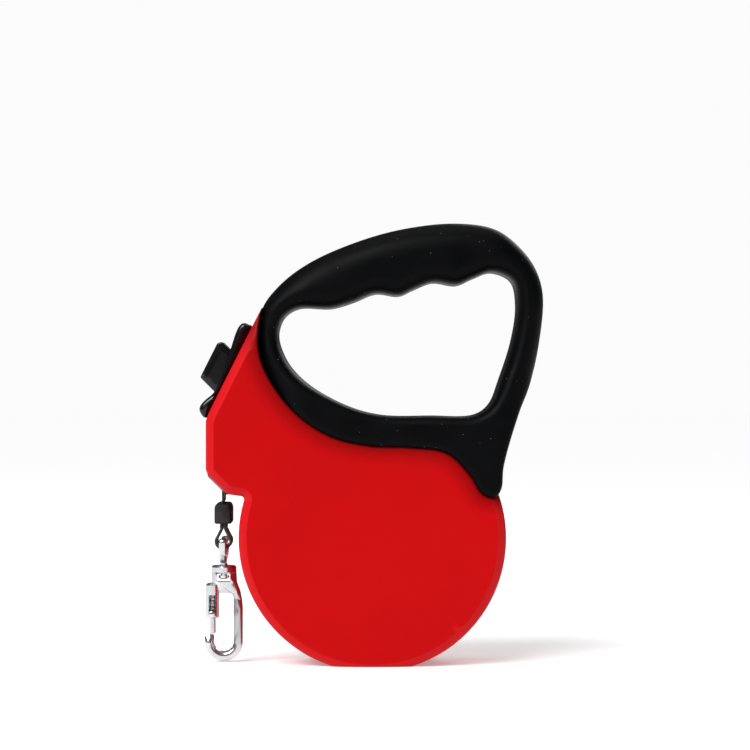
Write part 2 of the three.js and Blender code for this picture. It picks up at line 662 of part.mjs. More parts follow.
function hookBody() {
  const at = (x, z) => v2(leadX + x, z);
  const outline = [
    ...arc(leadX, bendZ, hookHalfWidth, 180, 360, 14),
    at(hookHalfWidth, barrelLow + 6), at(4.2, barrelHigh), at(4.2, hookTop - 0.6),
    at(3.6, hookTop), at(-3.6, hookTop), at(-4.2, hookTop - 0.6), at(-4.2, barrelHigh - 1.4),
    at(-2, barrelHigh - 3.4), at(hookInner - 0.6, barrelHigh - 3.4),
    at(hookInner, barrelHigh - 4.6),
    ...arc(leadX, bendZ, hookInner, 0, -180, 12),
    at(-hookInner, tipZ), at(-hookHalfWidth, tipZ),
  ];
  const frame = slab(outline, -hookThickness / 2, hookThickness / 2, 0.5);
  const barrel = post(2.4, barrelX, 0, barrelLow, barrelHigh, 20);
  const collar = post(4.3, leadX, 0, hookTop - 2.7, hookTop, 24);
  const window = block(leadX - 2.2, leadX + 2.2, -5, 5, hookTop - 5.5, hookTop - 2.7);
  const knobSlot = block(barrelX - 1.2, barrelX + 1.2, -4, 0, barrelLow + 0.8,
    barrelLow + 3 + hookTravel);
  return cut(join(frame, barrel, collar), window, knobSlot,
    post(boltRadius + boreRoom, barrelX, 0, barrelLow - 1, barrelHigh - 1.2, 16),
    post(swivelPin + boreRoom, leadX, 0, hookTop - 3, hookTop + 1, 16));
}

function hookBolt() {
  const shaft = post(boltRadius, barrelX, 0, tipZ + gap, boltTop, 16);
  const knob = block(barrelX - 0.8, barrelX + 0.8, -4.6, -0.4, barrelLow + 1, barrelLow + 2.4);
  const pad = block(barrelX - 1.6, barrelX + 1.6, -4.9, -2.7, barrelLow + 0.7, barrelLow + 2.7);
  return join(shaft, knob, pad);
}

const hookSpring = () => coilSpring(new THREE.Vector3(barrelX, 0, boltTop + 0.5),
  new THREE.Vector3(barrelX, 0, barrelHigh - 1.7), 0.85, 0.2, 5);

// ---------------------------------------------------------------- assembly

const finishes = {
  redPlastic: { color: 0xc4121a, roughness: 0.42, metalness: 0 },
  softGrip: { color: 0x141415, roughness: 0.72, metalness: 0 },
  glossBlack: { color: 0x0b0b0c, roughness: 0.22, metalness: 0 },
  nylon: { color: 0xd9d6cc, roughness: 0.5, metalness: 0 },
  springSteel: { color: 0x8d949c, roughness: 0.3, metalness: 1 },
  steel: { color: 0xa9adb2, roughness: 0.28, metalness: 1 },
  bronze: { color: 0xa07a45, roughness: 0.35, metalness: 1 },
  hookMetal: { color: 0xc3c6c9, roughness: 0.2, metalness: 1 },
  webbing: { color: 0x1a1a1c, roughness: 0.9, metalness: 0 },
};

const leash = new THREE.Group();
leash.name = 'retractable_leash';

function place(name, shape, finish) {
  const { vertProperties, triVerts } = shape.getMesh();
  const geometry = new THREE.BufferGeometry();
  geometry.setAttribute('position', new THREE.BufferAttribute(vertProperties, 3));
  geometry.setIndex(new THREE.BufferAttribute(triVerts, 1));
  geometry.computeVertexNormals();
  const mesh = new THREE.Mesh(geometry, new THREE.MeshStandardMaterial(finishes[finish]));
  mesh.name = name;
  leash.add(mesh);
}

place('case_left', wholeCase.intersect(leftHalf), 'redPlastic');
place('case_right', wholeCase.intersect(rightHalf), 'redPlastic');
place('grip_left', wholeGrip.intersect(leftHalf), 'softGrip');
place('grip_right', wholeGrip.intersect(rightHalf), 'softGrip');
place('brake_bezel', brakeBezel(), 'glossBlack');
place('brake_button', brakeButton(), 'glossBlack');
place('brake_plunger', brakePlunger(), 'glossBlack');
place('brake_spring', brakeSpring(), 'springSteel');
place('reel_drum', reelDrum(), 'nylon');
place('spring_cup', springCup(), 'nylon');
place('spring_cover', tube(bushRadius + 5, cupRadius, cupRim + gap, coverOuter, 0, axleZ, 36),
  'nylon');
place('mainspring', mainspring(), 'springSteel');
place('axle', arbor(), 'steel');
place('bush_left', bushLeft(), 'bronze');
place('bush_right', bushRight(), 'bronze');
place('belt_roll', woundBelt(), 'webbing');
place('belt_run', beltRun(), 'webbing');
place('belt_lead', beltLead(), 'webbing');
place('belt_stop', beltStop(), 'softGrip');
place('mouth_insert', mouthInsert(), 'glossBlack');
place('guide_roller', guideRoller(), 'nylon');
place('roller_pin', rollerPin(), 'steel');
place('swivel_eye', swivelEye(), 'hookMetal');
place('hook_body', hookBody(), 'hookMetal');
place('hook_bolt', hookBolt(), 'hookMetal');
place('hook_spring', hookSpring(), 'springSteel');
for (const one of caseScrews) place(one[0], screw(one, caseHeadSeat), 'steel');
for (const one of gripScrews) place(one[0], screw(one, gripHeadSeat), 'steel');

// Bring the middle of the whole leash over the origin
const extent = new THREE.Box3().setFromObject(leash);
leash.position.x = -(extent.min.x + extent.max.x) / 2;

export default leash;
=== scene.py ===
import math

import bmesh
import bpy
import numpy as np
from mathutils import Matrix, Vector, geometry


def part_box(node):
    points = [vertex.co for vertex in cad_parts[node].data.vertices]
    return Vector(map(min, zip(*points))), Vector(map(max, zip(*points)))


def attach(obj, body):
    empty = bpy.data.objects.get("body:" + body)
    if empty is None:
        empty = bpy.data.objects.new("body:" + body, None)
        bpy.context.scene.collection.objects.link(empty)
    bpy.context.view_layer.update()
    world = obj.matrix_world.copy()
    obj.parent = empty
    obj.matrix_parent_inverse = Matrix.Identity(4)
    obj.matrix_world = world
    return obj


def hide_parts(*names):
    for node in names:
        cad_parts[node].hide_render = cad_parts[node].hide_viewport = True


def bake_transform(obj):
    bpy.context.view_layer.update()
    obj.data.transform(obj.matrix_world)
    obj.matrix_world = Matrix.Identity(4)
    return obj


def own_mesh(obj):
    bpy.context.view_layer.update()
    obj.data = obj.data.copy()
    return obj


# A retractable belt leash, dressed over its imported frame. Drawing sizes are millimetres, with
# x = 0 on the reel's axle, and every mesh is put into the frame's metres as it is made.

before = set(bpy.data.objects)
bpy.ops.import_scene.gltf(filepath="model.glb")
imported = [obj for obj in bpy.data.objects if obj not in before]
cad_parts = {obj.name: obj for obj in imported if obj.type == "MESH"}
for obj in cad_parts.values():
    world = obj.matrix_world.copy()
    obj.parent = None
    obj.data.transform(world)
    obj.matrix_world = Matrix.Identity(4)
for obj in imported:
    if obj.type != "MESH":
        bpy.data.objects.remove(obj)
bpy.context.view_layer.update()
axleLow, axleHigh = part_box("axle")
shift = (axleLow.x + axleHigh.x) / 2 * 1000  # the frame's origin is under the whole leash's middle
axleZ = (axleLow.z + axleHigh.z) / 2 * 1000
print("frame loaded")

seam = 0.15              # each half of the case and grip stops this far from the middle plane
caseHalf = 17.0
caseRadius = axleZ + 2   # the standing flat cuts 2 mm off the round case
housingRadius = 38.497   # the reel housing, where the grip straddles it
housingHalf = 15.8
reelRoom = 36.897        # inside of the housing
roomHalf = 14.6
saddle = housingRadius + axleZ + 2.2
noseFront = -(caseRadius + 11)


# outline tools

def smoothLoop(points, steps):
    # a centripetal curve through the points, as the frame's own outlines use
    made = []
    count = len(points)
    for i in range(count):
        a, b, c, d = (np.array(points[(i + k - 1) % count], float) for k in range(4))
        s0, s1, s2 = (max(math.hypot(*(q - p)) ** 0.5, 1e-4) for p, q in ((a, b), (b, c), (c, d)))
        t1 = ((b - a) / s0 - (c - a) / (s0 + s1) + (c - b) / s1) * s1
        t2 = ((c - b) / s1 - (d - b) / (s1 + s2) + (d - c) / s2) * s1
        for k in range(steps):
            t = k / steps
            made.append(b + t1 * t + (3 * (c - b) - 2 * t1 - t2) * t * t
                        + (2 * (b - c) + t1 + t2) * t ** 3)
    return np.array(made)


def arc(x, z, radius, start, end, steps):
    angles = np.radians(np.linspace(start, end, steps + 1))
    return [(x + radius * math.cos(a), z + radius * math.sin(a)) for a in angles]


def filleted(points, radius, steps=5):
    # a closed outline with its corners turned to small arcs
    made = []
    count = len(points)
    for i in range(count):
        before, here, after = (np.array(points[(i + k - 1) % count], float) for k in range(3))
        back, on = before - here, after - here
        reach = min(radius, 0.45 * math.hypot(*back), 0.45 * math.hypot(*on))
        start = here + back / math.hypot(*back) * reach
        end = here + on / math.hypot(*on) * reach
        for t in np.linspace(0, 1, steps + 1):
            made.append(start * (1 - t) ** 2 + here * 2 * t * (1 - t) + end * t * t)
    return np.array(made)


def signedArea(loop):
    x, z = loop[:, 0], loop[:, 1]
    return 0.5 * float(np.sum(x * np.roll(z, -1) - np.roll(x, -1) * z))


def offsetLoop(loop, distance):
    # outwards above zero, inwards below
    along = np.roll(loop, -1, 0) - np.roll(loop, 1, 0)
    along /= np.maximum(np.hypot(along[:, 0], along[:, 1]), 1e-9)[:, None]
    outward = np.stack([along[:, 1], -along[:, 0]], 1) * (1 if signedArea(loop) > 0 else -1)
    return loop + outward * distance


def inside(points, loop):
    x, z = points[:, 0], points[:, 1]
    found = np.zeros(len(points), bool)
    for (x1, z1), (x2, z2) in zip(loop, np.roll(loop, -1, 0)):
        crosses = (z1 > z) != (z2 > z)
        run = (x2 - x1) * (z - z1) / (z2 - z1 if z2 != z1 else 1e-9) + x1
        found ^= crosses & (x < run)
    return found


def distanceTo(points, loop):
    best = np.full(len(points), 1e9)
    for a, b in zip(loop, np.roll(loop, -1, 0)):
        run = b - a
        t = np.clip(((points - a) @ run) / max(run @ run, 1e-12), 0, 1)
        gap = points - (a + t[:, None] * run)
        best = np.minimum(best, np.hypot(gap[:, 0], gap[:, 1]))
    return best


def rounded(distance, reach, drop):
    # how far a face falls at a distance from a rim that is rounded over reach and drop
    t = np.clip(1 - distance / reach, 0, 1)
    return drop * (1 - np.sqrt(1 - t * t))


def eased(value, low, high):
    t = np.clip((value - low) / (high - low), 0, 1)
    return t * t * (3 - 2 * t)


# mesh tools

sideOn = (Vector((0, 0, 0)), Vector((1, 0, 0)), Vector((0, 1, 0)), Vector((0, 0, 1)))


fineShares = (0.03, 0.15, 0.35, 0.6, 1.0)   # where rings of points stand across a rounded rim


def linked(name, data):
    thing = bpy.data.objects.new(name, data)
    bpy.context.scene.collection.objects.link(thing)
    return thing


def newPiece(name, verts, faces, uvs=None):
    mesh = bpy.data.meshes.new(name)
    mesh.from_pydata([((v[0] + shift) / 1000, v[1] / 1000, v[2] / 1000) for v in verts], [], faces)
    if uvs is not None:
        layer = mesh.uv_layers.new(name="beltMap")
        for loop in mesh.loops:
            layer.data[loop.index].uv = uvs[loop.vertex_index]
    piece = linked(name, mesh)
    work = bmesh.new()
    work.from_mesh(mesh)
    bmesh.ops.recalc_face_normals(work, faces=work.faces)
    work.to_mesh(mesh)
    work.free()
    return piece


def softened(piece, angle=32):
    piece.data.shade_smooth()
    piece.data.set_sharp_from_angle(angle=math.radians(angle))
    return piece


def plate(name, outline, cuts, reaches, face, under, spacing=2.2, axes=sideOn, mirror=False,
          shares=(0.02, 0.1, 0.24, 0.42, 0.64, 1.0)):
    # A closed solid over an outline less its cuts. face gives the height of the upper side from
    # each point's place and its distance to every rim, and under is a height or "same".
    loops = [np.array(outline, float)] + [np.array(c, float) for c in cuts]
    points, edges = [], []
    for loop in loops:
        first = len(points)
        points += [tuple(p) for p in loop]
        edges += [(first + i, first + (i + 1) % len(loop)) for i in range(len(loop))]
    for k, (loop, reach) in enumerate(zip(loops, reaches)):
        for share in shares:
            step = reach * share
            ring = offsetLoop(loop, -step if k == 0 else step)
            near = np.min([distanceTo(ring, other) for other in loops], 0)
            keep = inside(ring, loops[0]) & (near > 0.93 * step)
            for cut in loops[1:]:
                keep &= ~inside(ring, cut)
            points += [tuple(p) for p in ring[keep]]
    low, high = loops[0].min(0), loops[0].max(0)
    columns = np.arange(low[0], high[0], spacing)
    rows = np.arange(low[1], high[1], spacing * 0.87)
    grid = np.array([(x + (j % 2) * spacing / 2, z) for j, z in enumerate(rows) for x in columns])
    keep = inside(grid, loops[0])
    for cut in loops[1:]:
        keep &= ~inside(grid, cut)
    grid = grid[keep]
    if len(grid):
        clear = np.min([distanceTo(grid, loop) - reach for loop, reach in zip(loops, reaches)], 0)
        points += [tuple(p) for p in grid[clear > spacing * 0.5]]
    flat, _, faces, *_ = geometry.delaunay_2d_cdt([Vector(p) for p in points], edges, [], 0, 1e-4)
    flat = np.array([(p.x, p.y) for p in flat])
    faces = np.array([f for f in faces if len(f) == 3])
    middles = flat[faces].mean(1)
    keep = inside(middles, loops[0])
    for cut in loops[1:]:
        keep &= ~inside(middles, cut)
    faces = faces[keep]
    used = np.unique(faces)
    index = {old: new for new, old in enumerate(used)}
    flat = flat[used]
    heights = face(flat, [distanceTo(flat, loop) for loop in loops])
    lower = -heights if isinstance(under, str) else np.full(len(flat), under)
    sign = -1 if mirror else 1
    origin, right, out, up = axes
    count = len(flat)
    verts = [origin + right * p[0] + out * (h * sign) + up * p[1]
             for side in (heights, lower) for p, h in zip(flat, side)]
    solidFaces, sides = [], {}
    for a, b, c in faces:
        a, b, c = index[a], index[b], index[c]
        solidFaces += [(a, b, c), (c + count, b + count, a + count)]
        for edge in ((a, b), (b, c), (c, a)):
            sides[edge] = True
    solidFaces += [(b, a, a + count, b + count) for a, b in sides if (b, a) not in sides]
    return newPiece(name, verts, solidFaces)


def slab(name, outline, half, reach, drop, spacing, cuts=(), cutReach=0.8, **more):
    # a plate that is the same on both sides, with one rounding outside and one in its holes
    def slabFace(points, rims):
        height = half - rounded(rims[0], reach, drop)
        for rim in rims[1:]:
            height = height - rounded(rim, cutReach, cutReach)
        return height
    return plate(name, outline, list(cuts), [reach] + [cutReach] * len(cuts), slabFace, "same",
                 spacing=spacing, **more)


def prism(outline, low, high, axes=sideOn):
    # a plain straight solid over an outline, mostly to cut with
    origin, right, out, up = axes
    count = len(outline)
    verts = [origin + right * float(p[0]) + out * h + up * float(p[1])
             for h in (low, high) for p in outline]
    faces = [tuple(range(count)), tuple(range(2 * count - 1, count - 1, -1))]
    faces += [(i, (i + 1) % count, (i + 1) % count + count, i + count) for i in range(count)]
    return newPiece("tool", verts, faces)


def turned(profile, origin, axis, sides=48, name="tool"):
    # a closed profile of (radius, along) pairs turned about an axis
    axis = Vector(axis).normalized()
    across = axis.orthogonal().normalized()
    beside = axis.cross(across)
    verts, faces = [], []
    rings = len(profile)
    for i in range(sides):
        angle = 2 * math.pi * i / sides
        out = across * math.cos(angle) + beside * math.sin(angle)
        verts += [Vector(origin) + out * r + axis * h for r, h in profile]
    for i in range(sides):
        j = (i + 1) % sides
        for k in range(rings - 1):
            faces.append((i * rings + k, i * rings + k + 1, j * rings + k + 1, j * rings + k))
    if profile[0] != profile[-1]:
        faces += [tuple(i * rings for i in range(sides)),
                  tuple(i * rings + rings - 1 for i in reversed(range(sides)))]
    return newPiece(name, verts, faces)


def pin(radius, x, y, z, axis, low, high, sides=40):
    return turned([(radius, low), (radius, high)], (x, y, z), axis, sides)


def combine(piece, tools, action="DIFFERENCE"):
    # joins or cuts with closed tools, and leaves the result as the piece's own mesh
    for tool in tools:
        step = piece.modifiers.new("step", "BOOLEAN")
        step.operation, step.object, step.solver = action, tool, "MANIFOLD"
    bpy.context.view_layer.update()
    graph = bpy.context.evaluated_depsgraph_get()
    mesh = bpy.data.meshes.new_from_object(piece.evaluated_get(graph))
    piece.modifiers.clear()
    piece.data = mesh
    mesh.name = piece.name
    for tool in tools:
        bpy.data.objects.remove(tool)
    return piece


def beveled(piece, width, segments=2, angle=35):
    # small rounded edges on a faceted piece
    flat = piece.modifiers.new("flat", "DECIMATE")
    flat.decimate_type, flat.angle_limit = "DISSOLVE", math.radians(1)
    edge = piece.modifiers.new("edge", "BEVEL")
    edge.width, edge.segments, edge.limit_method = width / 1000, segments, "ANGLE"
    edge.angle_limit = math.radians(angle)
    smooth = piece.modifiers.new("normals", "WEIGHTED_NORMAL")
    smooth.keep_sharp = True
    piece.data.shade_smooth()
    return piece


def tubeFaces(first, rings, sides):
    # the skin over a row of rings, closed at both ends
    faces = []
    for i in range(first, first + (rings - 1) * sides, sides):
        for k in range(sides):
            j = (k + 1) % sides
            faces.append((i + k, i + j, i + sides + j, i + sides + k))
    last = first + (rings - 1) * sides
    faces += [tuple(range(first, first + sides)), tuple(range(last + sides - 1, last - 1, -1))]
    return faces


def ribbon(name, path, width, thickness, rows=10):
    # a flat strap of even thickness along a path in x and z, mapped in millimetres
    path = np.array(path, float)
    half, edge = width / 2, thickness / 2
    section = [(half - edge + edge * math.cos(a), edge * math.sin(a))
               for a in np.linspace(-math.pi / 2, math.pi / 2, 5)]
    section += [(y, edge) for y in np.linspace(half - edge, edge - half, rows)[1:-1]]
    section += [(edge - half - edge * math.cos(a), edge * math.sin(a))
                for a in np.linspace(math.pi / 2, -math.pi / 2, 5)]
    section += [(y, -edge) for y in np.linspace(edge - half, half - edge, rows)[1:-1]]
    count = len(section)
    verts, uvs, travelled = [], [], 0.0
    for i, here in enumerate(path):
        before, after = path[max(0, i - 1)], path[min(len(path) - 1, i + 1)]
        along = (after - before) / math.hypot(*(after - before))
        travelled += math.hypot(*(here - path[i - 1])) if i else 0
        for y, n in section:
            verts.append((here[0] - along[1] * n, y, here[1] + along[0] * n))
            uvs.append((y + (20 if n > 0 else 0), travelled))
    return newPiece(name, verts, tubeFaces(0, len(path), count), uvs)


def coil(name, start, end, radius, wire, turns, closed=0.8):
    # a round wire wound about a straight axis, its end turns drawn close together
    start, end = Vector(start), Vector(end)
    axis = (end - start).normalized()
    across = axis.orthogonal().normalized()
    beside = axis.cross(across)
    steps = int(turns * 20)
    verts, ring = [], 8
    for i in range(steps + 1):
        t = i / steps
        spread = t - closed * math.sin(2 * math.pi * t) / (2 * math.pi)
        angle = 2 * math.pi * turns * t
        out = across * math.cos(angle) + beside * math.sin(angle)
        middle = start.lerp(end, spread) + out * radius
        for k in range(ring):
            turn = 2 * math.pi * k / ring
            verts.append(middle + out * (wire * math.cos(turn)) + axis * (wire * math.sin(turn)))
    return newPiece(name, verts, tubeFaces(0, steps + 1, ring))


# node tools

def fed(tree, node, inputs):
    # sets a node's inputs to values, or links them where a socket is given
    for label, value in inputs.items():
        if isinstance(value, bpy.types.NodeSocket):
            tree.links.new(value, node.inputs[label])
        else:
            node.inputs[label].default_value = value
    return node


def newNode(tree, kind, inputs=()):
    return fed(tree, tree.nodes.new("ShaderNode" + kind), dict(inputs))


def mathNode(tree, operation, a, b=None, clamp=False):
    node = newNode(tree, "Math", {0: a} if b is None else {0: a, 1: b})
    node.operation, node.use_clamp = operation, clamp
    return node.outputs[0]


def noiseNode(tree, vector, scale, detail):
    node = newNode(tree, "TexNoise", {"Vector": vector, "Scale": scale, "Detail": detail})
    return node.outputs["Fac"]


def mixColour(tree, factor, a, b):
    node = tree.nodes.new("ShaderNodeMix")
    node.data_type = "RGBA"
    a, b = ((*value, 1) if isinstance(value, tuple) else value for value in (a, b))
    return fed(tree, node, {0: factor, 6: a, 7: b}).outputs[2]   # the colour sockets' places


def ranged(tree, value, low, high):
    node = newNode(tree, "MapRange", {"Value": value, "To Min": low, "To Max": high})
    return node.outputs["Result"]


def attributeNode(tree, name):
    node = newNode(tree, "Attribute")
    node.attribute_name = name
    return node.outputs["Fac"]


# shared surface effects, each a node group placed in the materials that need it

def newGroup(name, inputs, outputs):
    group = bpy.data.node_groups.new(name, "ShaderNodeTree")
    for label, value in {"Coordinates": None, **inputs}.items():
        kind = "NodeSocketVector" if value is None else "NodeSocketFloat"
        socket = group.interface.new_socket(label, in_out="INPUT", socket_type=kind)
        if value is not None:
            socket.default_value = value
    for label in outputs:
        group.interface.new_socket(label, in_out="OUTPUT", socket_type="NodeSocketFloat")
    start = group.nodes.new("NodeGroupInput")
    end = group.nodes.new("NodeGroupOutput")
    start.location, end.location = (-700, 0), (500, 0)
    return group, start.outputs, end


def makeGrain():
    # fine moulded or cast texture, with slow patches of tone over it; coordinates in millimetres
    group, given, end = newGroup("surfaceGrain", {"Fineness": 3.0, "Patch scale": 0.05},
                                 ["Height", "Patches"])
    fine = noiseNode(group, given["Coordinates"], given["Fineness"], 3)
    coarse = noiseNode(group, given["Coordinates"], given["Patch scale"], 4)
    spread = newNode(group, "MapRange", {"Value": coarse, "From Min": 0.35, "From Max": 0.65})
    fed(group, end, {"Height": fine, "Patches": spread.outputs["Result"]})
    return group


def makeEdgeWear():
    # picks out raised edges, broken up by noise
    group, given, end = newGroup("edgeWear", {"Sharpness": 12.0, "Breakup": 0.4}, ["Mask"])
    shape = newNode(group, "NewGeometry")
    raised = mathNode(group, "SUBTRACT", shape.outputs["Pointiness"], 0.51)
    scaled = mathNode(group, "MULTIPLY", raised, given["Sharpness"])
    speckle = noiseNode(group, given["Coordinates"], given["Breakup"], 4)
    broken = mathNode(group, "MULTIPLY", scaled, mathNode(group, "ADD", speckle, 0.35), clamp=True)
    fed(group, end, {"Mask": broken})
    return group


def makeDust():
    # a few tiny pale specks that cling to a soft surface
    group, given, end = newGroup("dustSpecks", {"Density": 0.5, "Speck size": 0.1}, ["Mask"])
    cells = newNode(group, "TexVoronoi", {"Vector": given["Coordinates"],
                                          "Scale": given["Density"]})
    near = mathNode(group, "LESS_THAN", cells.outputs["Distance"], given["Speck size"])
    chosen = newNode(group, "SeparateColor", {0: cells.outputs["Color"]})
    some = mathNode(group, "GREATER_THAN", chosen.outputs[0], 0.72)
    fed(group, end, {"Mask": mathNode(group, "MULTIPLY", near, some)})
    return group


def makeWeave():
    # a close plain weave with ribs across the strap; coordinates in millimetres
    group, given, end = newGroup("beltWeave", {"Warp pitch": 0.9, "Weft pitch": 1.1},
                                 ["Height", "Fibre"])
    parts = newNode(group, "SeparateXYZ", {0: given["Coordinates"]})

    def wave(axis, pitch):
        turns = mathNode(group, "DIVIDE", parts.outputs[axis], given[pitch])
        return mathNode(group, "SINE", mathNode(group, "MULTIPLY", turns, 2 * math.pi))
    crossing = mathNode(group, "MULTIPLY", wave("X", "Warp pitch"), wave("Y", "Weft pitch"))
    ribs = mathNode(group, "MULTIPLY", mathNode(group, "ABSOLUTE", wave("Y", "Weft pitch")), 0.4)
    fed(group, end, {"Height": mathNode(group, "ADD", crossing, ribs),
                     "Fibre": noiseNode(group, given["Coordinates"], 4.0, 3)})
    return group


grainGroup, wearGroup, dustGroup, weaveGroup = makeGrain(), makeEdgeWear(), makeDust(), makeWeave()


def placed(tree, group, coordinates, values):
    node = tree.nodes.new("ShaderNodeGroup")
    node.node_tree = group
    return fed(tree, node, {"Coordinates": coordinates, **values}).outputs


# materials

def startMaterial(name):
    material = bpy.data.materials.new(name)
    material.use_nodes = True
    return material, material.node_tree, material.node_tree.nodes["Principled BSDF"]


def inMillimetres(tree, location=(0, 0, 0)):
    place = newNode(tree, "TexCoord")
    size = newNode(tree, "Mapping", {"Vector": place.outputs["Object"], "Location": location,
                                     "Scale": (1000, 1000, 1000)})
    return size.outputs["Vector"]


def finishShader(tree, shader, colour, rough, height, strength, depth, own):
    bump = newNode(tree, "Bump", {"Height": height, "Strength": strength, "Distance": depth})
    fed(tree, shader, {"Base Color": colour, "Roughness": rough,
                       "Normal": bump.outputs["Normal"], **own})


grainDepth, weaveDepth = 0.00005, 0.00018   # metres
dustLook = {"size": 0.075, "strength": 0.4, "colour": (0.26, 0.26, 0.25)}


def finishMaterial(name, look):
    # one solid finish: patches of tone, lighter worn edges, where given a painted highlight on the
    # chamfer and painted shade by the grip, optional dust, fine grain
    material, tree, shader = startMaterial(name)
    where = inMillimetres(tree)
    grain = placed(tree, grainGroup, where, {
        "Fineness": look["fineness"], "Patch scale": look["patch"]})
    wear = placed(tree, wearGroup, where, {"Sharpness": look["sharpness"], "Breakup": 0.8})
    colour = mixColour(tree, grain["Patches"], look["colour"], look["shade"])
    worn = mathNode(tree, "MULTIPLY", wear["Mask"], look["wear"])
    colour = mixColour(tree, worn, colour, look["edge"])
    if look.get("rim"):      # painted highlight: a brighter red on the chamfer round the rim, where light falls on it
        colour = mixColour(tree, attributeNode(tree, "chamferHighlight"), colour, look["rim"])
    if look.get("hollow"):   # painted shade: a darker red where the face dips towards the grip
        colour = mixColour(tree, attributeNode(tree, "dip"), colour, look["hollow"])
    rough = ranged(tree, grain["Patches"], *look["roughness"])
    if look.get("dust"):
        dust = placed(tree, dustGroup, where, {
            "Density": look["dust"], "Speck size": dustLook["size"]})
        amount = mathNode(tree, "MULTIPLY", dust["Mask"], dustLook["strength"])
        colour = mixColour(tree, amount, colour, dustLook["colour"])
    finishShader(tree, shader, colour, rough, grain["Height"], look["grain"], grainDepth,
                 look.get("own", {}))
    return material


def webbingMaterial(name, look, mapped):
    # nylon webbing, from the strap's own map, or from rings round the axle for the wound roll
    material, tree, shader = startMaterial(name)
    if mapped:
        where = newNode(tree, "TexCoord").outputs["UV"]
    else:
        flat = newNode(tree, "VectorMath", {0: inMillimetres(tree, (-shift, 0, -axleZ)),
                                            1: (1, 0, 1)})
        flat.operation = "MULTIPLY"
        length = newNode(tree, "VectorMath", {0: flat.outputs["Vector"]})
        length.operation = "LENGTH"
        where = newNode(tree, "CombineXYZ", {"X": length.outputs["Value"], "Y": 0.2})
        where = where.outputs["Vector"]
    weave = placed(tree, weaveGroup, where, {
        "Warp pitch": look["warpPitch"], "Weft pitch": look["weftPitch"]})
    # the weave's low places take the darker colour: painted shade in its hollows
    raised = ranged(tree, weave["Height"], 0.25, 0.85)
    colour = mixColour(tree, raised, look["shade"], look["colour"])
    fibre = mathNode(tree, "MULTIPLY", weave["Fibre"], look["fibre"])
    colour = mixColour(tree, fibre, colour, look["thread"])
    rough = ranged(tree, weave["Fibre"], 0.6, 0.95)
    finishShader(tree, shader, colour, rough, weave["Height"], 0.7, weaveDepth,
                 {"Sheen Weight": 0.25})
    return material


finishLooks = {
    "caseRed": {"colour": (0.438, 0.0006, 0.0016), "shade": (0.408, 0.0005, 0.0012),
                # rim is a brighter red painted on the chamfer as a highlight
                "edge": (0.62, 0.008, 0.012), "rim": (0.50, 0.006, 0.009),
                # the darker red below is painted shade where the face dips towards the grip
                "hollow": (0.15, 0.0004, 0.001), "wear": 0.5, "sharpness": 14,
                "roughness": (0.38, 0.46), "fineness": 2.4, "patch": 0.03, "grain": 0.16,
                "own": {"Specular IOR Level": 0.07}},
    "gripRubber": {"colour": (0.0010, 0.0011, 0.0014), "shade": (0.0017, 0.0018, 0.0022),
                   "edge": (0.008, 0.0085, 0.010), "wear": 0.3, "sharpness": 8,
                   "roughness": (0.42, 0.52), "fineness": 3.2, "patch": 0.06, "grain": 0.24,
                   "dust": 0.55, "own": {"Specular IOR Level": 0.045}},
    "glossBlack": {"colour": (0.0014, 0.0014, 0.0018), "shade": (0.0022, 0.0022, 0.0027),
                   "edge": (0.02, 0.02, 0.023), "wear": 0.4, "sharpness": 12,
                   "roughness": (0.12, 0.19), "fineness": 0.9, "patch": 0.08, "grain": 0.04,
                   "own": {"Specular IOR Level": 0.34}},
    "stopRubber": {"colour": (0.010, 0.010, 0.011), "shade": (0.016, 0.016, 0.017),
                   "edge": (0.035, 0.035, 0.036), "wear": 0.4, "sharpness": 10,
                   "roughness": (0.62, 0.75), "fineness": 2.6, "patch": 0.1, "grain": 0.3,
                   "own": {"Specular IOR Level": 0.2}},
    "reelNylon": {"colour": (0.66, 0.64, 0.58), "shade": (0.58, 0.56, 0.50),
                  "edge": (0.80, 0.79, 0.74), "wear": 0.5, "sharpness": 10,
                  "roughness": (0.42, 0.55), "fineness": 1.8, "patch": 0.05, "grain": 0.12,
                  "own": {"Subsurface Weight": 0.08, "Subsurface Scale": 0.002}},
    "springSteel": {"colour": (0.30, 0.33, 0.38), "shade": (0.22, 0.24, 0.29),
                    "edge": (0.5, 0.52, 0.56), "wear": 0.5, "sharpness": 10,
                    "roughness": (0.24, 0.38), "fineness": 2.0, "patch": 0.12, "grain": 0.08,
                    "own": {"Metallic": 1.0}},
    "turnedSteel": {"colour": (0.52, 0.53, 0.55), "shade": (0.40, 0.41, 0.44),
                    "edge": (0.7, 0.71, 0.73), "wear": 0.6, "sharpness": 10,
                    "roughness": (0.22, 0.36), "fineness": 2.5, "patch": 0.25, "grain": 0.1,
                    "own": {"Metallic": 1.0}},
    "bushBronze": {"colour": (0.47, 0.29, 0.11), "shade": (0.36, 0.21, 0.08),
                   "edge": (0.62, 0.42, 0.2), "wear": 0.5, "sharpness": 10,
                   "roughness": (0.3, 0.44), "fineness": 3.0, "patch": 0.2, "grain": 0.12,
                   "own": {"Metallic": 1.0}},
    "hookZinc": {"colour": (0.62, 0.63, 0.65), "shade": (0.50, 0.51, 0.53),
                 "edge": (0.82, 0.83, 0.85), "wear": 0.7, "sharpness": 9,
                 "roughness": (0.15, 0.27), "fineness": 1.1, "patch": 0.12, "grain": 0.09,
                 "own": {"Metallic": 1.0}},
}
materials = {name: finishMaterial(name, look) for name, look in finishLooks.items()}
beltLook = {"colour": (0.022, 0.022, 0.025), "shade": (0.007, 0.007, 0.008),
            "thread": (0.05, 0.05, 0.055), "fibre": 0.35, "warpPitch": 1.2, "weftPitch": 1.0}
materials["beltWebbing"] = webbingMaterial("beltWebbing", beltLook, True)
rollLook = dict(beltLook, warpPitch=0.8)
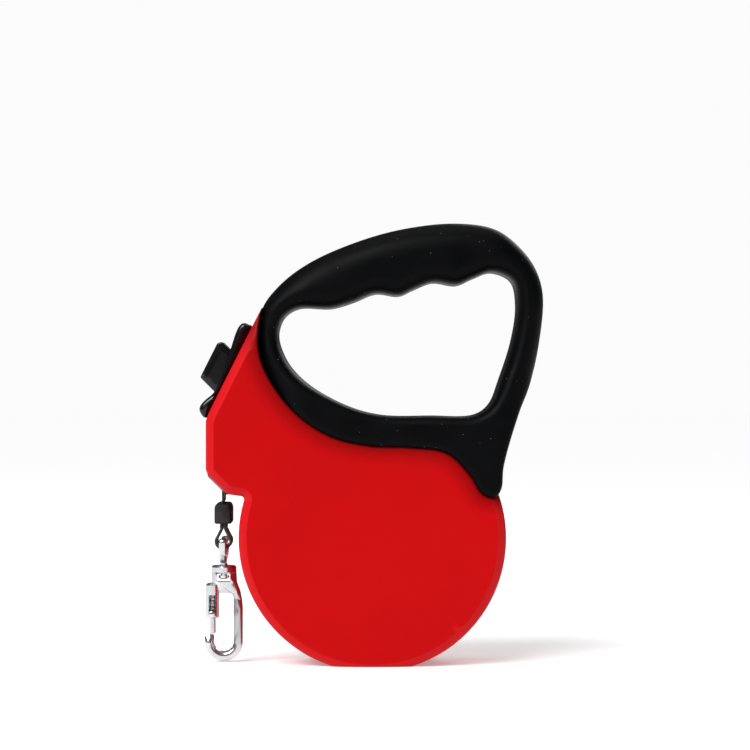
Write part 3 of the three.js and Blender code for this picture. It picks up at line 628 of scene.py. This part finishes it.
materials["woundBelt"] = webbingMaterial("woundBelt", rollLook, False)
print("materials made")


def dress(piece, material, body, *stoodFor):
    piece.data.materials.clear()
    piece.data.materials.append(materials[material])
    if body:
        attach(piece, body)
    if stoodFor:
        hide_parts(*stoodFor)
    return piece


# drawing points

handleFront, handleLength, handleHeight = -36.7, 94.3, 65.4


def onGrip(x, z):
    return (handleFront + x * handleLength / 100, saddle + z * handleHeight / 100)


def around(degrees, radius):
    return (radius * math.cos(math.radians(degrees)),
            axleZ + radius * math.sin(math.radians(degrees)))


slopeTop = np.array(onGrip(-0.3, 56.6))
slopeBottom = np.array((noseFront, axleZ + 40.1))
slopeDown = (slopeBottom - slopeTop) / math.hypot(*(slopeBottom - slopeTop))
slopeOut = np.array((slopeDown[1], -slopeDown[0]))


def onSlope(along, height):
    return tuple(slopeTop + slopeDown * along + slopeOut * height)


pressBack = np.array((-math.sqrt(0.5), math.sqrt(0.5)))
pressSide = np.array((math.sqrt(0.5), math.sqrt(0.5)))


def onButton(across, height):
    # a point at a distance across the press line and a height above the slope
    foot = np.array((0.0, axleZ)) + pressSide * across
    rise = (height + (slopeTop - foot) @ slopeOut) / (pressBack @ slopeOut)
    return tuple(foot + pressBack * rise)


def onPressLine(along, across):
    spot = np.array((0.0, axleZ)) + pressBack * along + pressSide * across
    return (float(spot[0]), 0.0, float(spot[1]))


gripOutside = smoothLoop([
    onGrip(8.4, 6.3), (-22.5, saddle - 1.6), (-13, saddle - 6.9), (-1, saddle - 9.6),
    (13, saddle - 10.2), around(49, caseRadius - 7), around(33, caseRadius - 6),
    around(22, caseRadius - 5.2), around(18.6, caseRadius - 1.6), around(21, caseRadius + 1.3),
    around(29, caseRadius + 5.4), onGrip(90.8, 1.2), onGrip(95.1, 16.5), onGrip(98.5, 37.5),
    onGrip(100, 63), onGrip(97.2, 77), onGrip(91.5, 88), onGrip(83.1, 96.9), onGrip(68.6, 100),
    onGrip(46.9, 96.2), onGrip(26.6, 86.7), onGrip(14, 77.5), onGrip(5.3, 67.4),
    onGrip(-0.3, 56.6), onGrip(-2, 43.1), onGrip(-1.4, 31.5), onGrip(1.8, 19.9)], 8)
handOpening = smoothLoop([
    onGrip(5.4, 45.9), onGrip(5.2, 39.3), onGrip(8.9, 26.9), onGrip(16.5, 15.9),
    onGrip(30.1, 5.2), onGrip(42.1, 0.6), onGrip(60, 0.2), onGrip(76, 0.8), onGrip(81.2, 6.1),
    onGrip(85, 20), onGrip(89.4, 41), onGrip(90.8, 58.4), onGrip(88.9, 70.2),
    onGrip(81.7, 74.7), onGrip(75, 71.5), onGrip(69.1, 68), onGrip(60.5, 69.4),
    onGrip(53.5, 65.6), onGrip(48.4, 62.5), onGrip(40, 63.6), onGrip(32, 59.2),
    onGrip(24.1, 56), onGrip(12.5, 56), onGrip(7.6, 52)], 8)

mouthTop = np.array((noseFront, axleZ + 22))
mouthBottom = np.array((noseFront + 7.8, axleZ + 14.2))
mouthMiddle = (mouthTop + mouthBottom) / 2
mouthOut = np.array((-math.sqrt(0.5), -math.sqrt(0.5)))
mouthDown = np.array((math.sqrt(0.5), -math.sqrt(0.5)))


def onMouth(along, out):
    return tuple(mouthMiddle + mouthDown * along + mouthOut * out)


rollWrap, guideWrap = 34.797, 3.7   # the belt's middle, round the full roll and the roller
leadDrops = {"stop": 4.3, "stopLength": 7, "eye": 6, "hook": 8.4}   # down the belt's hanging end
guideX, guideZ = onMouth(0.6, -6.7)
leadX = guideX - guideWrap
leadPivot = mouthMiddle[1] - (leadX - mouthMiddle[0]) - 0.9
stopTop = leadPivot - leadDrops["stop"]
stopBottom = stopTop - leadDrops["stopLength"]
eyeZ = stopBottom - leadDrops["eye"]
hookTop = eyeZ - leadDrops["hook"]

screwRing = caseRadius - 5.2
caseScrewSpots = {"case_screw_front": mouthMiddle + (2, 15.4),
                  "case_screw_low_front": around(-130, screwRing),
                  "case_screw_low_back": around(-50, screwRing),
                  "case_screw_back": around(3, screwRing)}
gripScrewSpots = {"grip_screw_front_leg": onGrip(13.3, 10.3),
                  "grip_screw_front_top": onGrip(15.6, 66.8),
                  "grip_screw_back_top": onGrip(88.4, 81.6),
                  "grip_screw_back_leg": onGrip(89.3, 11.2)}


# the left halves carry a low rail just inside their outlines, and the right ones a groove for it

railShape = {"inset": 1.1, "width": 0.8, "reach": 0.9, "room": 0.1}


def railTool(loop, grown, clear=None):
    near, far = railShape["inset"] - grown, railShape["inset"] + railShape["width"] + grown
    high = railShape["reach"] + grown
    rail = prism(offsetLoop(loop, -near), -high, high)
    tools = [prism(offsetLoop(loop, -far), -high - 1, high + 1)]
    if clear is not None:
        tools.append(prism(clear, -high - 1, high + 1))
    return combine(rail, tools)


# case halves

caseShape = {"bevelReach": 2.8, "bevelDrop": 2.1, "rimReach": 1.0, "rimDrop": 0.9,
             "crownReach": 14.0, "crownDrop": 0.35, "grooveReach": 0.9,
             # dipShade is how dark the painted shade by the grip gets
             "grooveDrop": 0.4, "dipReach": 7.0, "dipDrop": 0.7, "dipShade": 0.7,
             "turn": 0.12,      # how softly the chamfer meets the side
             # band is where the chamfer's painted highlight fades out
             "band": (2.6, 2.95), "screwSeat": 14.15}
noseRoom = [(-46, 62), (-53.2, 69.5), (-53.2, 80), (-33, 85), (-30, 64)]   # inside of the nose
bodyOutline = [onSlope(-0.8, -2.4)] + [onSlope(t, 0) for t in np.linspace(0.4, 40, 14)]
bodyOutline += arc(noseFront + 2.4, slopeBottom[1] - 1.2, 2.4, 156, 180, 4)
bodyOutline += [(noseFront, z) for z in np.linspace(slopeBottom[1] - 4, mouthTop[1] + 1.2, 5)]
bodyOutline += [onMouth(t, 0) for t in np.linspace(-4.6, 4.6, 5)]
chinRound = 1.2   # a small fillet where the nose's underside meets the round case
chinDrop = mouthBottom[1] - axleZ - chinRound
chinX = -math.sqrt((caseRadius + chinRound) ** 2 - chinDrop ** 2)
chin = math.degrees(math.asin(chinDrop / (caseRadius + chinRound)))
bodyOutline += [tuple(p) for p in np.linspace(onMouth(4.6, 0), (chinX, mouthBottom[1]), 6)[1:-1]]
bodyOutline += arc(chinX, axleZ + chinDrop, chinRound, 90, -chin, 10)
bodyOutline += arc(0, axleZ, caseRadius, 180 - chin, 378, 150)[1:]
bodyOutline += [(34, saddle - 4), onGrip(30, 50)]
bodyOutline = np.array(bodyOutline)
gripLine = offsetLoop(gripOutside, -0.03)   # closed up, so nothing shows between them


def caseFace(points, rims):
    # a flat chamfer with a small rounded corner outside it, and a slow crown inside it
    slant = np.clip(1 - rims[0] / caseShape["bevelReach"], 0, 1)
    turn = caseShape["turn"]
    edge = caseShape["bevelDrop"] * (np.sqrt(slant ** 2 + turn ** 2) + slant - turn) / 2
    edge += rounded(rims[0], caseShape["rimReach"], caseShape["rimDrop"])
    crown = rounded(rims[0], caseShape["crownReach"], caseShape["crownDrop"])
    groove = rounded(rims[1], caseShape["grooveReach"], caseShape["grooveDrop"])
    dip = rounded(rims[1], caseShape["dipReach"], caseShape["dipDrop"])
    return caseHalf - edge - crown - groove - dip


def wellTool(span, bottom, top, half):
    # a block along the button's path, between two heights over the slope
    low, high = span
    return prism([onButton(low, bottom), onButton(low, top), onButton(high, top),
                  onButton(high, bottom)], -half, half)


def painted(piece, name, values):
    layer = piece.data.attributes.new(name, "FLOAT", "POINT")
    layer.data.foreach_set("value", values.astype(np.float32))


def screwHoles(spots, seat):
    return [pin(2.25, x, 0, z, (0, 1, 0), seat, 30, 28) for x, z in spots.values()]


def makeCaseHalf(name, mirror, *stoodFor):
    sign = -1 if mirror else 1
    half = plate(name, bodyOutline, [gripLine],
                 [caseShape["bevelReach"] + 0.6, caseShape["grooveReach"]],
                 caseFace, seam, spacing=2.6, mirror=mirror,
                 shares=(0.02, 0.08, 0.16, 0.27, 0.5, 0.7, 0.78, 0.84, 0.9, 1.0))
    tools = [pin(reelRoom, 0, 0, axleZ, (0, 1, 0), -roomHalf, roomHalf, 96),
             prism([onMouth(-5.2, 3), onMouth(-5.2, -5), onMouth(5.2, -5), onMouth(5.2, 3)],
                   -8.9, 8.9),
             prism(noseRoom, -roomHalf, roomHalf),
             wellTool((-7.2, 11.8), -12, 12, 8.1),
             prism([(-60, -9), (60, -9), (60, 0), (-60, 0)], -30, 30)]   # the standing flat
    if not mirror:
        tools += screwHoles(caseScrewSpots, caseShape["screwSeat"])
    housing = pin(housingRadius, 0, 0, axleZ, (0, 1, 0), sign * seam, sign * housingHalf, 96)
    combine(half, [housing], "UNION")
    rail = railTool(bodyOutline, 0 if mirror else railShape["room"], gripOutside)
    combine(half, [rail], "UNION" if mirror else "DIFFERENCE")
    combine(half, tools)
    # how near each point is to the grip and to the rim: painted shade near the grip, and a painted
    # highlight on the side's chamfer
    spots = np.array([v.co for v in half.data.vertices]) * 1000 - (shift, 0, 0)
    near = 1 - eased(distanceTo(spots[:, [0, 2]], gripOutside), 0, caseShape["dipReach"] + 1)
    chamferHighlightMask = 1 - eased(distanceTo(spots[:, [0, 2]], bodyOutline), *caseShape["band"])
    painted(half, "chamferHighlight", chamferHighlightMask * (np.abs(spots[:, 1]) > 13))
    painted(half, "dip", near ** 1.6 * caseShape["dipShade"])
    return dress(softened(half, 26), "caseRed", "case", *stoodFor)


makeCaseHalf("caseShellLeft", True, "case_left")
makeCaseHalf("caseShellRight", False, "case_right")
print("case halves made")


# grip halves

gripShape = {"yokeHalf": 18.2, "topHalf": 13.2, "outerReach": 8.5, "outerDrop": 8.5,
             "innerReach": 5.5, "innerDrop": 7.0, "lipReach": 2.0, "lipDrop": 2.0,
             "innerLip": 3.2, "screwSeat": 9.35}


def gripFace(points, rims):
    z = points[:, 1]
    half = gripShape["yokeHalf"] + (gripShape["topHalf"] - gripShape["yokeHalf"]) * np.clip(
        (z - saddle) / handleHeight, 0, 1)
    free = eased(z, saddle - 3, saddle + 16)   # away from the case the loop is fully rounded
    outer = rounded(rims[0], gripShape["lipReach"] * (1 - free) + gripShape["outerReach"] * free,
                    gripShape["lipDrop"] * (1 - free) + gripShape["outerDrop"] * free)
    lift = eased(z, saddle + 1, saddle + 22)
    lip = gripShape["innerLip"] * (1 - lift)
    inner = rounded(rims[1], lip + gripShape["innerReach"] * lift,
                    lip + gripShape["innerDrop"] * lift)
    return half - outer - inner


def makeGripHalf(name, mirror, *stoodFor):
    half = plate(name, gripOutside, [handOpening],
                 [gripShape["outerReach"], gripShape["innerReach"]], gripFace, seam, spacing=1.8,
                 mirror=mirror, shares=(0.015, 0.06, 0.13, 0.23, 0.35, 0.5, 0.7, 1.0))
    room = 0.3   # between the grip and the housing it straddles
    tools = [pin(housingRadius + room, 0, 0, axleZ, (0, 1, 0), -housingHalf - room,
                 housingHalf + room, 96)]
    if not mirror:
        tools += screwHoles(gripScrewSpots, gripShape["screwSeat"])
    rail = railTool(gripOutside, 0 if mirror else railShape["room"])
    combine(half, [rail], "UNION" if mirror else "DIFFERENCE")
    combine(half, tools)
    return dress(softened(half, 38), "gripRubber", "case", *stoodFor)


makeGripHalf("gripShellLeft", True, "grip_left")
makeGripHalf("gripShellRight", False, "grip_right")
print("grip halves made")


# brake saddle and button

saddleShape = {"half": 11.0, "round": 1.6, "window": (-6.5, 11.2), "windowHalf": 7.4}
ridge = [(7.9, 0.3), (7.4, 2.4), (8.1, 3.7), (9.6, 4.2), (12.4, 4.1), (17.4, 3.3), (20.5, 2.9),
         (25.5, 2.0), (29.7, 1.7), (33.6, 1.9), (36.9, 3.3), (39.4, 3.8), (41.0, 3.1), (42, 0.3)]
ridgeOutline = smoothLoop([onSlope(t, h) for t, h in ridge], 5)
ridgeOutline = np.array([p for p in ridgeOutline if (p - slopeTop) @ slopeOut > 0.22])
brakeSaddle = slab("brakeSaddle", ridgeOutline, saddleShape["half"], saddleShape["round"],
                   saddleShape["round"], 1.4, shares=fineShares)
combine(brakeSaddle, [wellTool(saddleShape["window"], -12, 12, saddleShape["windowHalf"])])
dress(softened(brakeSaddle, 34), "glossBlack", "case", "brake_bezel")

buttonShape = {"half": 7.0, "round": 0.6, "corner": 0.5, "grooves": 4, "groovePitch": 2.1}
buttonOutline = filleted([onButton(-3, -0.4), onButton(-3, 8.35), onButton(9.3, 8.35),
                          onButton(10.7, 7.2), onButton(10.7, -0.4)], buttonShape["corner"])
brakeButton = slab("brakeButton", buttonOutline, buttonShape["half"], buttonShape["round"],
                   buttonShape["round"], 1.2, shares=fineShares)
grooves = []
for k in range(buttonShape["grooves"]):
    spot = onButton(0.2 + buttonShape["groovePitch"] * k, 9.1)
    grooves.append(turned([(0.35, -5.6), (1.05, -4.9), (1.05, 4.9), (0.35, 5.6)],
                          (spot[0], 0, spot[1]), (0, 1, 0), 24))
combine(brakeButton, grooves)
dress(softened(brakeButton, 34), "glossBlack", "button", "brake_button")

# the brake's spring, which shortens as the button goes in, drawn here at rest
springStart, springEnd = onPressLine(44.9, 4.6), onPressLine(53.3, 4.6)
brakeCoil = coil("brakeCoil", springStart, springEnd, 1.5, 0.3, 6)
dress(softened(brakeCoil, 60), "springSteel", "case", "brake_spring")
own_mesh(brakeCoil)

# a gloss black liner round the button's well, a dark sheet that stands in for the shade inside it
wellShadeLiner = wellTool((-7.15, 11.75), -9, 0.2, 8.05)
wellShadeLiner.name = "brakeWellShadeLiner"
combine(wellShadeLiner, [wellTool((-6.6, 11.2), -12, 12, 7.45)])
dress(softened(wellShadeLiner, 34), "glossBlack", "case")
print("brake made")


# belt mouth

mouthAxes = (Vector((mouthMiddle[0], 0, mouthMiddle[1])), Vector((0, 1, 0)),
             Vector((mouthOut[0], 0, mouthOut[1])), Vector((mouthDown[0], 0, mouthDown[1])))
mouthShape = {"lip": 0.8, "back": -2.5, "round": 0.7, "insideRound": 0.45, "insideDrop": 0.8}


def mouthFace(points, rims):
    return (mouthShape["lip"] - rounded(rims[0], mouthShape["round"], mouthShape["round"])
            - rounded(rims[1], mouthShape["insideRound"], mouthShape["insideDrop"]))


mouthPiece = plate(
    "mouthSurround",
    filleted([(-8.6, -4.9), (8.6, -4.9), (8.6, 4.9), (-8.6, 4.9)], 1.6),
    [filleted([(-6.9, -3.2), (6.9, -3.2), (6.9, 3.9), (-6.9, 3.9)], 1.2)],
    [mouthShape["round"], mouthShape["round"]], mouthFace, mouthShape["back"], spacing=1.0,
    axes=mouthAxes)
dress(softened(mouthPiece, 40), "glossBlack", "case", "mouth_insert")


# belt, stop and stitching

beltShape = {"width": 12.0, "thickness": 0.8, "layer": 0.65, "loop": 2.5}
runAngle = 101.218   # where the belt leaves the roll
runPath = arc(0, axleZ, rollWrap, runAngle - 24, runAngle, 16)
runPath += arc(guideX, guideZ, guideWrap, runAngle, 180, 14)
runPath += [(leadX, z) for z in np.linspace(guideZ - 1.2, leadPivot + 1.6, 5)]
beltRun = ribbon("beltRun", runPath, beltShape["width"], beltShape["thickness"])
dress(softened(beltRun, 50), "beltWebbing", "case", "belt_run")

layer = beltShape["layer"]
tailPath = [(leadX, z) for z in np.linspace(leadPivot + 1.6, stopTop + 1, 12)]
tailPath += [(leadX - layer * t, stopTop + 1 - 1.6 * t) for t in (0.25, 0.5, 0.75, 1)]
tailPath += [(leadX - layer, z) for z in np.linspace(stopTop - 1.5, eyeZ + 4.2, 8)]
tailPath += arc(leadX, eyeZ, beltShape["loop"], 140, 400, 30)
tailPath += [(leadX + layer, z) for z in np.linspace(eyeZ + 4.2, stopTop - 1.2, 8)]
tail = ribbon("beltTail", tailPath, beltShape["width"], beltShape["thickness"])
dress(softened(tail, 50), "beltWebbing", None, "belt_lead")
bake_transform(tail)

stitchLook = {"rows": (1.0, 2.4), "pitch": 1.25, "half": 0.46, "thick": 0.13, "wide": 0.16,
              "lift": 0.1, "steps": 5, "sides": 6}
rings, ringSides = stitchLook["steps"], stitchLook["sides"]
stitchVerts, stitchFaces = [], []
for row in stitchLook["rows"]:
    for side in (-1, 1):
        for y in np.arange(-4.8, 4.9, stitchLook["pitch"]):
            first = len(stitchVerts)
            # a short flattened thread that dips into the strap at both ends
            for t in np.linspace(-1, 1, rings):
                lift = 0.02 + stitchLook["lift"] * (1 - t * t)
                for a in np.linspace(0, 2 * math.pi, ringSides + 1)[:-1]:
                    stitchVerts.append((leadX + side * (layer + 0.4 + lift)
                                        + stitchLook["thick"] * math.cos(a),
                                        y + stitchLook["half"] * t,
                                        stopBottom - row + stitchLook["wide"] * math.sin(a)))
            stitchFaces += tubeFaces(first, rings, ringSides)
stitches = newPiece("beltStitches", stitchVerts, stitchFaces)
threadLook = dict(finishLooks["stopRubber"], colour=(0.045, 0.045, 0.048),
                  shade=(0.06, 0.06, 0.062), edge=(0.1, 0.1, 0.1), fineness=6.0)
materials["stitchThread"] = finishMaterial("stitchThread", threadLook)
dress(softened(stitches, 60), "stitchThread", "lead")

stopShape = {"half": 8.0, "reach": 1.5, "drop": 1.6}
stopOutline = filleted([(leadX - 2.2, stopTop), (leadX + 2.2, stopTop),
                        (leadX + 2.9, stopTop - 1.4), (leadX + 2.9, stopBottom),
                        (leadX - 2.9, stopBottom), (leadX - 2.9, stopTop - 1.4)], 0.8)
stop = slab("beltStop", stopOutline, stopShape["half"], stopShape["reach"], stopShape["drop"], 1.1)
combine(stop, [prism([(leadX - 1.2, stopTop + 2), (leadX + 1.2, stopTop + 2),
                      (leadX + 1.2, stopBottom - 2), (leadX - 1.2, stopBottom - 2)], -6.25, 6.25)])
dress(softened(stop, 34), "stopRubber", "lead", "belt_stop")
print("belt made")


# snap hook

frontOn = (Vector((leadX, 0, 0)), Vector((0, 1, 0)), Vector((1, 0, 0)), Vector((0, 0, 1)))
eyeShape = {"half": 1.3, "round": 0.9, "insideRound": 0.8}
eyeOutline = filleted([(-8.6, eyeZ + 1.2), (-9.4, eyeZ), (-8.6, eyeZ - 4), (-3.4, hookTop + 0.8),
                       (3.4, hookTop + 0.8), (8.6, eyeZ - 4), (9.4, eyeZ), (8.6, eyeZ + 1.2)], 1.4)
eyeHole = filleted([(-6.9, eyeZ - 1.2), (-6.9, eyeZ - 3.2), (-2.6, eyeZ - 5.4),
                    (2.6, eyeZ - 5.4), (6.9, eyeZ - 3.2), (6.9, eyeZ - 1.2)], 0.8)
eye = slab("swivelEye", eyeOutline, eyeShape["half"], eyeShape["round"], eyeShape["round"], 0.9,
           [eyeHole], eyeShape["insideRound"], axes=frontOn, shares=fineShares)
shank = [(1.2, hookTop + 1.5), (1.2, hookTop - 3.3), (1.9, hookTop - 3.4), (1.9, hookTop - 4.2),
         (1.2, hookTop - 4.6)]
combine(eye, [turned(shank, (leadX, 0, 0), (0, 0, 1), 32)], "UNION")
dress(softened(eye, 34), "hookZinc", "eye", "swivel_eye")

hookShape = {"half": 2.1, "round": 1.5, "outer": 6.5, "bar": 3.2}
hookInner = hookShape["outer"] - hookShape["bar"]
bendZ = hookTop - 32.4 + hookShape["outer"]
tipZ = bendZ + 2.4
barrelX, barrelLow, barrelHigh = leadX - 3.9, tipZ + 5.5, hookTop - 6


def onHook(x, z):
    return (leadX + x, z)


# a rounded tip, the back swept up into the neck, and the inside of the bend
hookOutline = arc(leadX, bendZ, hookShape["outer"], 180, 360, 40)
hookOutline += [onHook(6.5, bendZ + 4), onHook(6.5, barrelLow + 3.4),
                onHook(6.25, barrelLow + 6.4), onHook(5.6, barrelHigh - 2.6),
                onHook(4.5, barrelHigh + 0.4),
                onHook(4.2, hookTop - 0.5), onHook(3.7, hookTop), onHook(-3.7, hookTop),
                onHook(-4.2, hookTop - 0.5), onHook(-4.2, barrelHigh - 1.4),
                onHook(-2, barrelHigh - 3.4), onHook(hookInner - 1.2, barrelHigh - 3.5),
                onHook(hookInner - 0.3, barrelHigh - 4), onHook(hookInner, barrelHigh - 5.2)]
hookOutline += arc(leadX, bendZ, hookInner, 0, -180, 30)
hookOutline += [onHook(-hookInner, tipZ - 0.5), onHook(-hookInner - 0.4, tipZ),
                onHook(-hookShape["outer"] + 0.4, tipZ), onHook(-hookShape["outer"], tipZ - 0.5)]
hook = slab("hookBody", hookOutline, hookShape["half"], hookShape["round"],
            hookShape["round"], 1.0)
barrel = [(1.9, barrelLow), (2.4, barrelLow + 0.5), (2.4, barrelHigh - 0.8), (1.6, barrelHigh)]
collar = [(3.7, hookTop - 2.7), (4.3, hookTop - 2.2), (4.3, hookTop - 0.6), (3.8, hookTop)]
combine(hook, [turned(barrel, (barrelX, 0, 0), (0, 0, 1), 40),
               turned(collar, (leadX, 0, 0), (0, 0, 1), 48)], "UNION")
windowOutline = [(leadX - 2.2, hookTop - 5.5), (leadX + 2.2, hookTop - 5.5),
                 (leadX + 2.2, hookTop - 2.7), (leadX - 2.2, hookTop - 2.7)]
knobSlot = filleted([(barrelX - 1.2, barrelLow + 0.8), (barrelX + 1.2, barrelLow + 0.8),
                     (barrelX + 1.2, barrelLow + 8), (barrelX - 1.2, barrelLow + 8)], 0.6)
combine(hook, [prism(windowOutline, -5, 5), prism(knobSlot, -4, 0),
               pin(1.55, barrelX, 0, 0, (0, 0, 1), barrelLow - 1, barrelHigh - 1.2, 32),
               pin(1.55, leadX, 0, 0, (0, 0, 1), hookTop - 3, hookTop + 1, 32)])
dress(softened(hook, 34), "hookZinc", "hook", "hook_body")

bolt = turned([(0.9, tipZ + 0.3), (1.2, tipZ + 0.6), (1.2, barrelLow + 2.5)], (barrelX, 0, 0),
              (0, 0, 1), 32, "hookBolt")
stem = prism([(barrelX - 0.8, barrelLow + 1), (barrelX + 0.8, barrelLow + 1),
              (barrelX + 0.8, barrelLow + 2.4), (barrelX - 0.8, barrelLow + 2.4)], -4.2, -0.4)
thumb = turned([(0.5, -4.95), (0.95, -4.7), (1.0, -3.2), (0.7, -2.85)],
               (barrelX, 0, barrelLow + 1.7), (0, 1, 0), 28)
combine(bolt, [stem, thumb], "UNION")
dress(softened(bolt, 34), "hookZinc", "bolt", "hook_bolt")
# its spring is held by the barrel's closed end and shortens as the bolt is drawn back; here it is
# drawn at rest
coilLow, coilHigh = barrelLow + 3.0, barrelHigh - 1.7
hookCoil = coil("hookCoil", (barrelX, 0, coilLow), (barrelX, 0, coilHigh), 0.85, 0.2, 5)
dress(softened(hookCoil, 60), "springSteel", "hook", "hook_spring")
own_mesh(hookCoil)
print("hook made")


# the frame's own pieces that stay

nodeFinish = {
    # the brake plunger takes the gloss black, a dark finish that stands in for the shade inside
    # the button's well
    "brake_plunger": ("glossBlack", 0.25), "reel_drum": ("reelNylon", 0.3),
    "spring_cup": ("reelNylon", 0.25), "spring_cover": ("reelNylon", 0.2),
    "guide_roller": ("reelNylon", 0.2), "mainspring": ("springSteel", 0),
    "axle": ("turnedSteel", 0.2), "roller_pin": ("turnedSteel", 0.2),
    "bush_left": ("bushBronze", 0.15), "bush_right": ("bushBronze", 0.15),
    "belt_roll": ("woundBelt", 0.1)}
for spot in (*caseScrewSpots, *gripScrewSpots):
    nodeFinish[spot] = ("turnedSteel", 0.12)
for name, (material, edge) in nodeFinish.items():
    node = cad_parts[name]
    node.data.materials.clear()
    node.data.materials.append(materials[material])
    if edge:
        beveled(node, edge)
    else:
        softened(node, 40)
print("frame pieces dressed")


# floor, lights and camera

stageLook = {"floor": (0.90, 0.90, 0.90), "span": 6.0, "glow": 0.26, "sun": 3.3, "sunSpread": 40,
             "sunTurn": (34, -30), "ambient": 0.12, "backdrop": 0.97}
boxLights = {   # place, size, power
    "keyBox": ((-0.75, -0.6, 0.75), (0.45, 0.45), 2.6),
    "fillBox": ((0.9, -0.7, 0.4), (0.4, 0.6), 1.0),
    "topBox": ((0.05, 0.1, 0.95), (0.8, 0.5), 1.6),
    "backBox": ((0.4, 0.9, 0.6), (0.6, 0.5), 4.2)}
floorMesh = bpy.data.meshes.new("floor")
span = stageLook["span"]
floorMesh.from_pydata([(-span, -span, 0), (span, -span, 0), (span, span, 0), (-span, span, 0)],
                      [], [(0, 1, 2, 3)])
floor = linked("floor", floorMesh)
floorMaterial, floorTree, floorShader = startMaterial("paleFloor")
fed(floorTree, floorShader, {
    "Base Color": (*stageLook["floor"], 1), "Roughness": 0.6, "Specular IOR Level": 0.2,
    "Emission Color": (1, 1, 1, 1), "Emission Strength": stageLook["glow"]})
floorMesh.materials.append(floorMaterial)


aim = Vector((0, 0, 0.08))   # the middle of the leash
for name, (place, size, power) in boxLights.items():
    data = bpy.data.lights.new(name, "AREA")
    data.shape, data.size, data.size_y = "RECTANGLE", *size
    data.energy = power
    lamp = linked(name, data)
    lamp.location = place
    lamp.rotation_euler = (aim - Vector(place)).to_track_quat("-Z", "Y").to_euler()
sun = bpy.data.lights.new("overall", "SUN")
sun.energy, sun.angle = stageLook["sun"], math.radians(stageLook["sunSpread"])
sunLamp = linked("overall", sun)
sunLamp.rotation_euler = (*(math.radians(turn) for turn in stageLook["sunTurn"]), 0)

world = bpy.data.worlds.new("studio")
bpy.context.scene.world = world
world.use_nodes = True
sky = world.node_tree
white = (1, 1, 1, 1)
unseen = fed(sky, sky.nodes["Background"], {"Color": white, "Strength": stageLook["ambient"]})
seen = newNode(sky, "Background", {"Color": white, "Strength": stageLook["backdrop"]})
mixer = newNode(sky, "MixShader", {0: newNode(sky, "LightPath").outputs["Is Camera Ray"],
                                   1: unseen.outputs[0], 2: seen.outputs[0]})
fed(sky, sky.nodes["World Output"], {"Surface": mixer.outputs[0]})
bpy.context.scene.view_settings.view_transform = "Standard"

cameraLook = {"place": (0.0012, -0.915, 0.0977), "lens": 129}
cameraData = bpy.data.cameras.new("camera")
cameraData.lens, cameraData.sensor_width = cameraLook["lens"], 36
camera = linked("camera", cameraData)
camera.location = cameraLook["place"]
camera.rotation_euler = (math.pi / 2, 0, 0)   # level, looking straight at the side
bpy.context.scene.camera = camera
print("stage set")
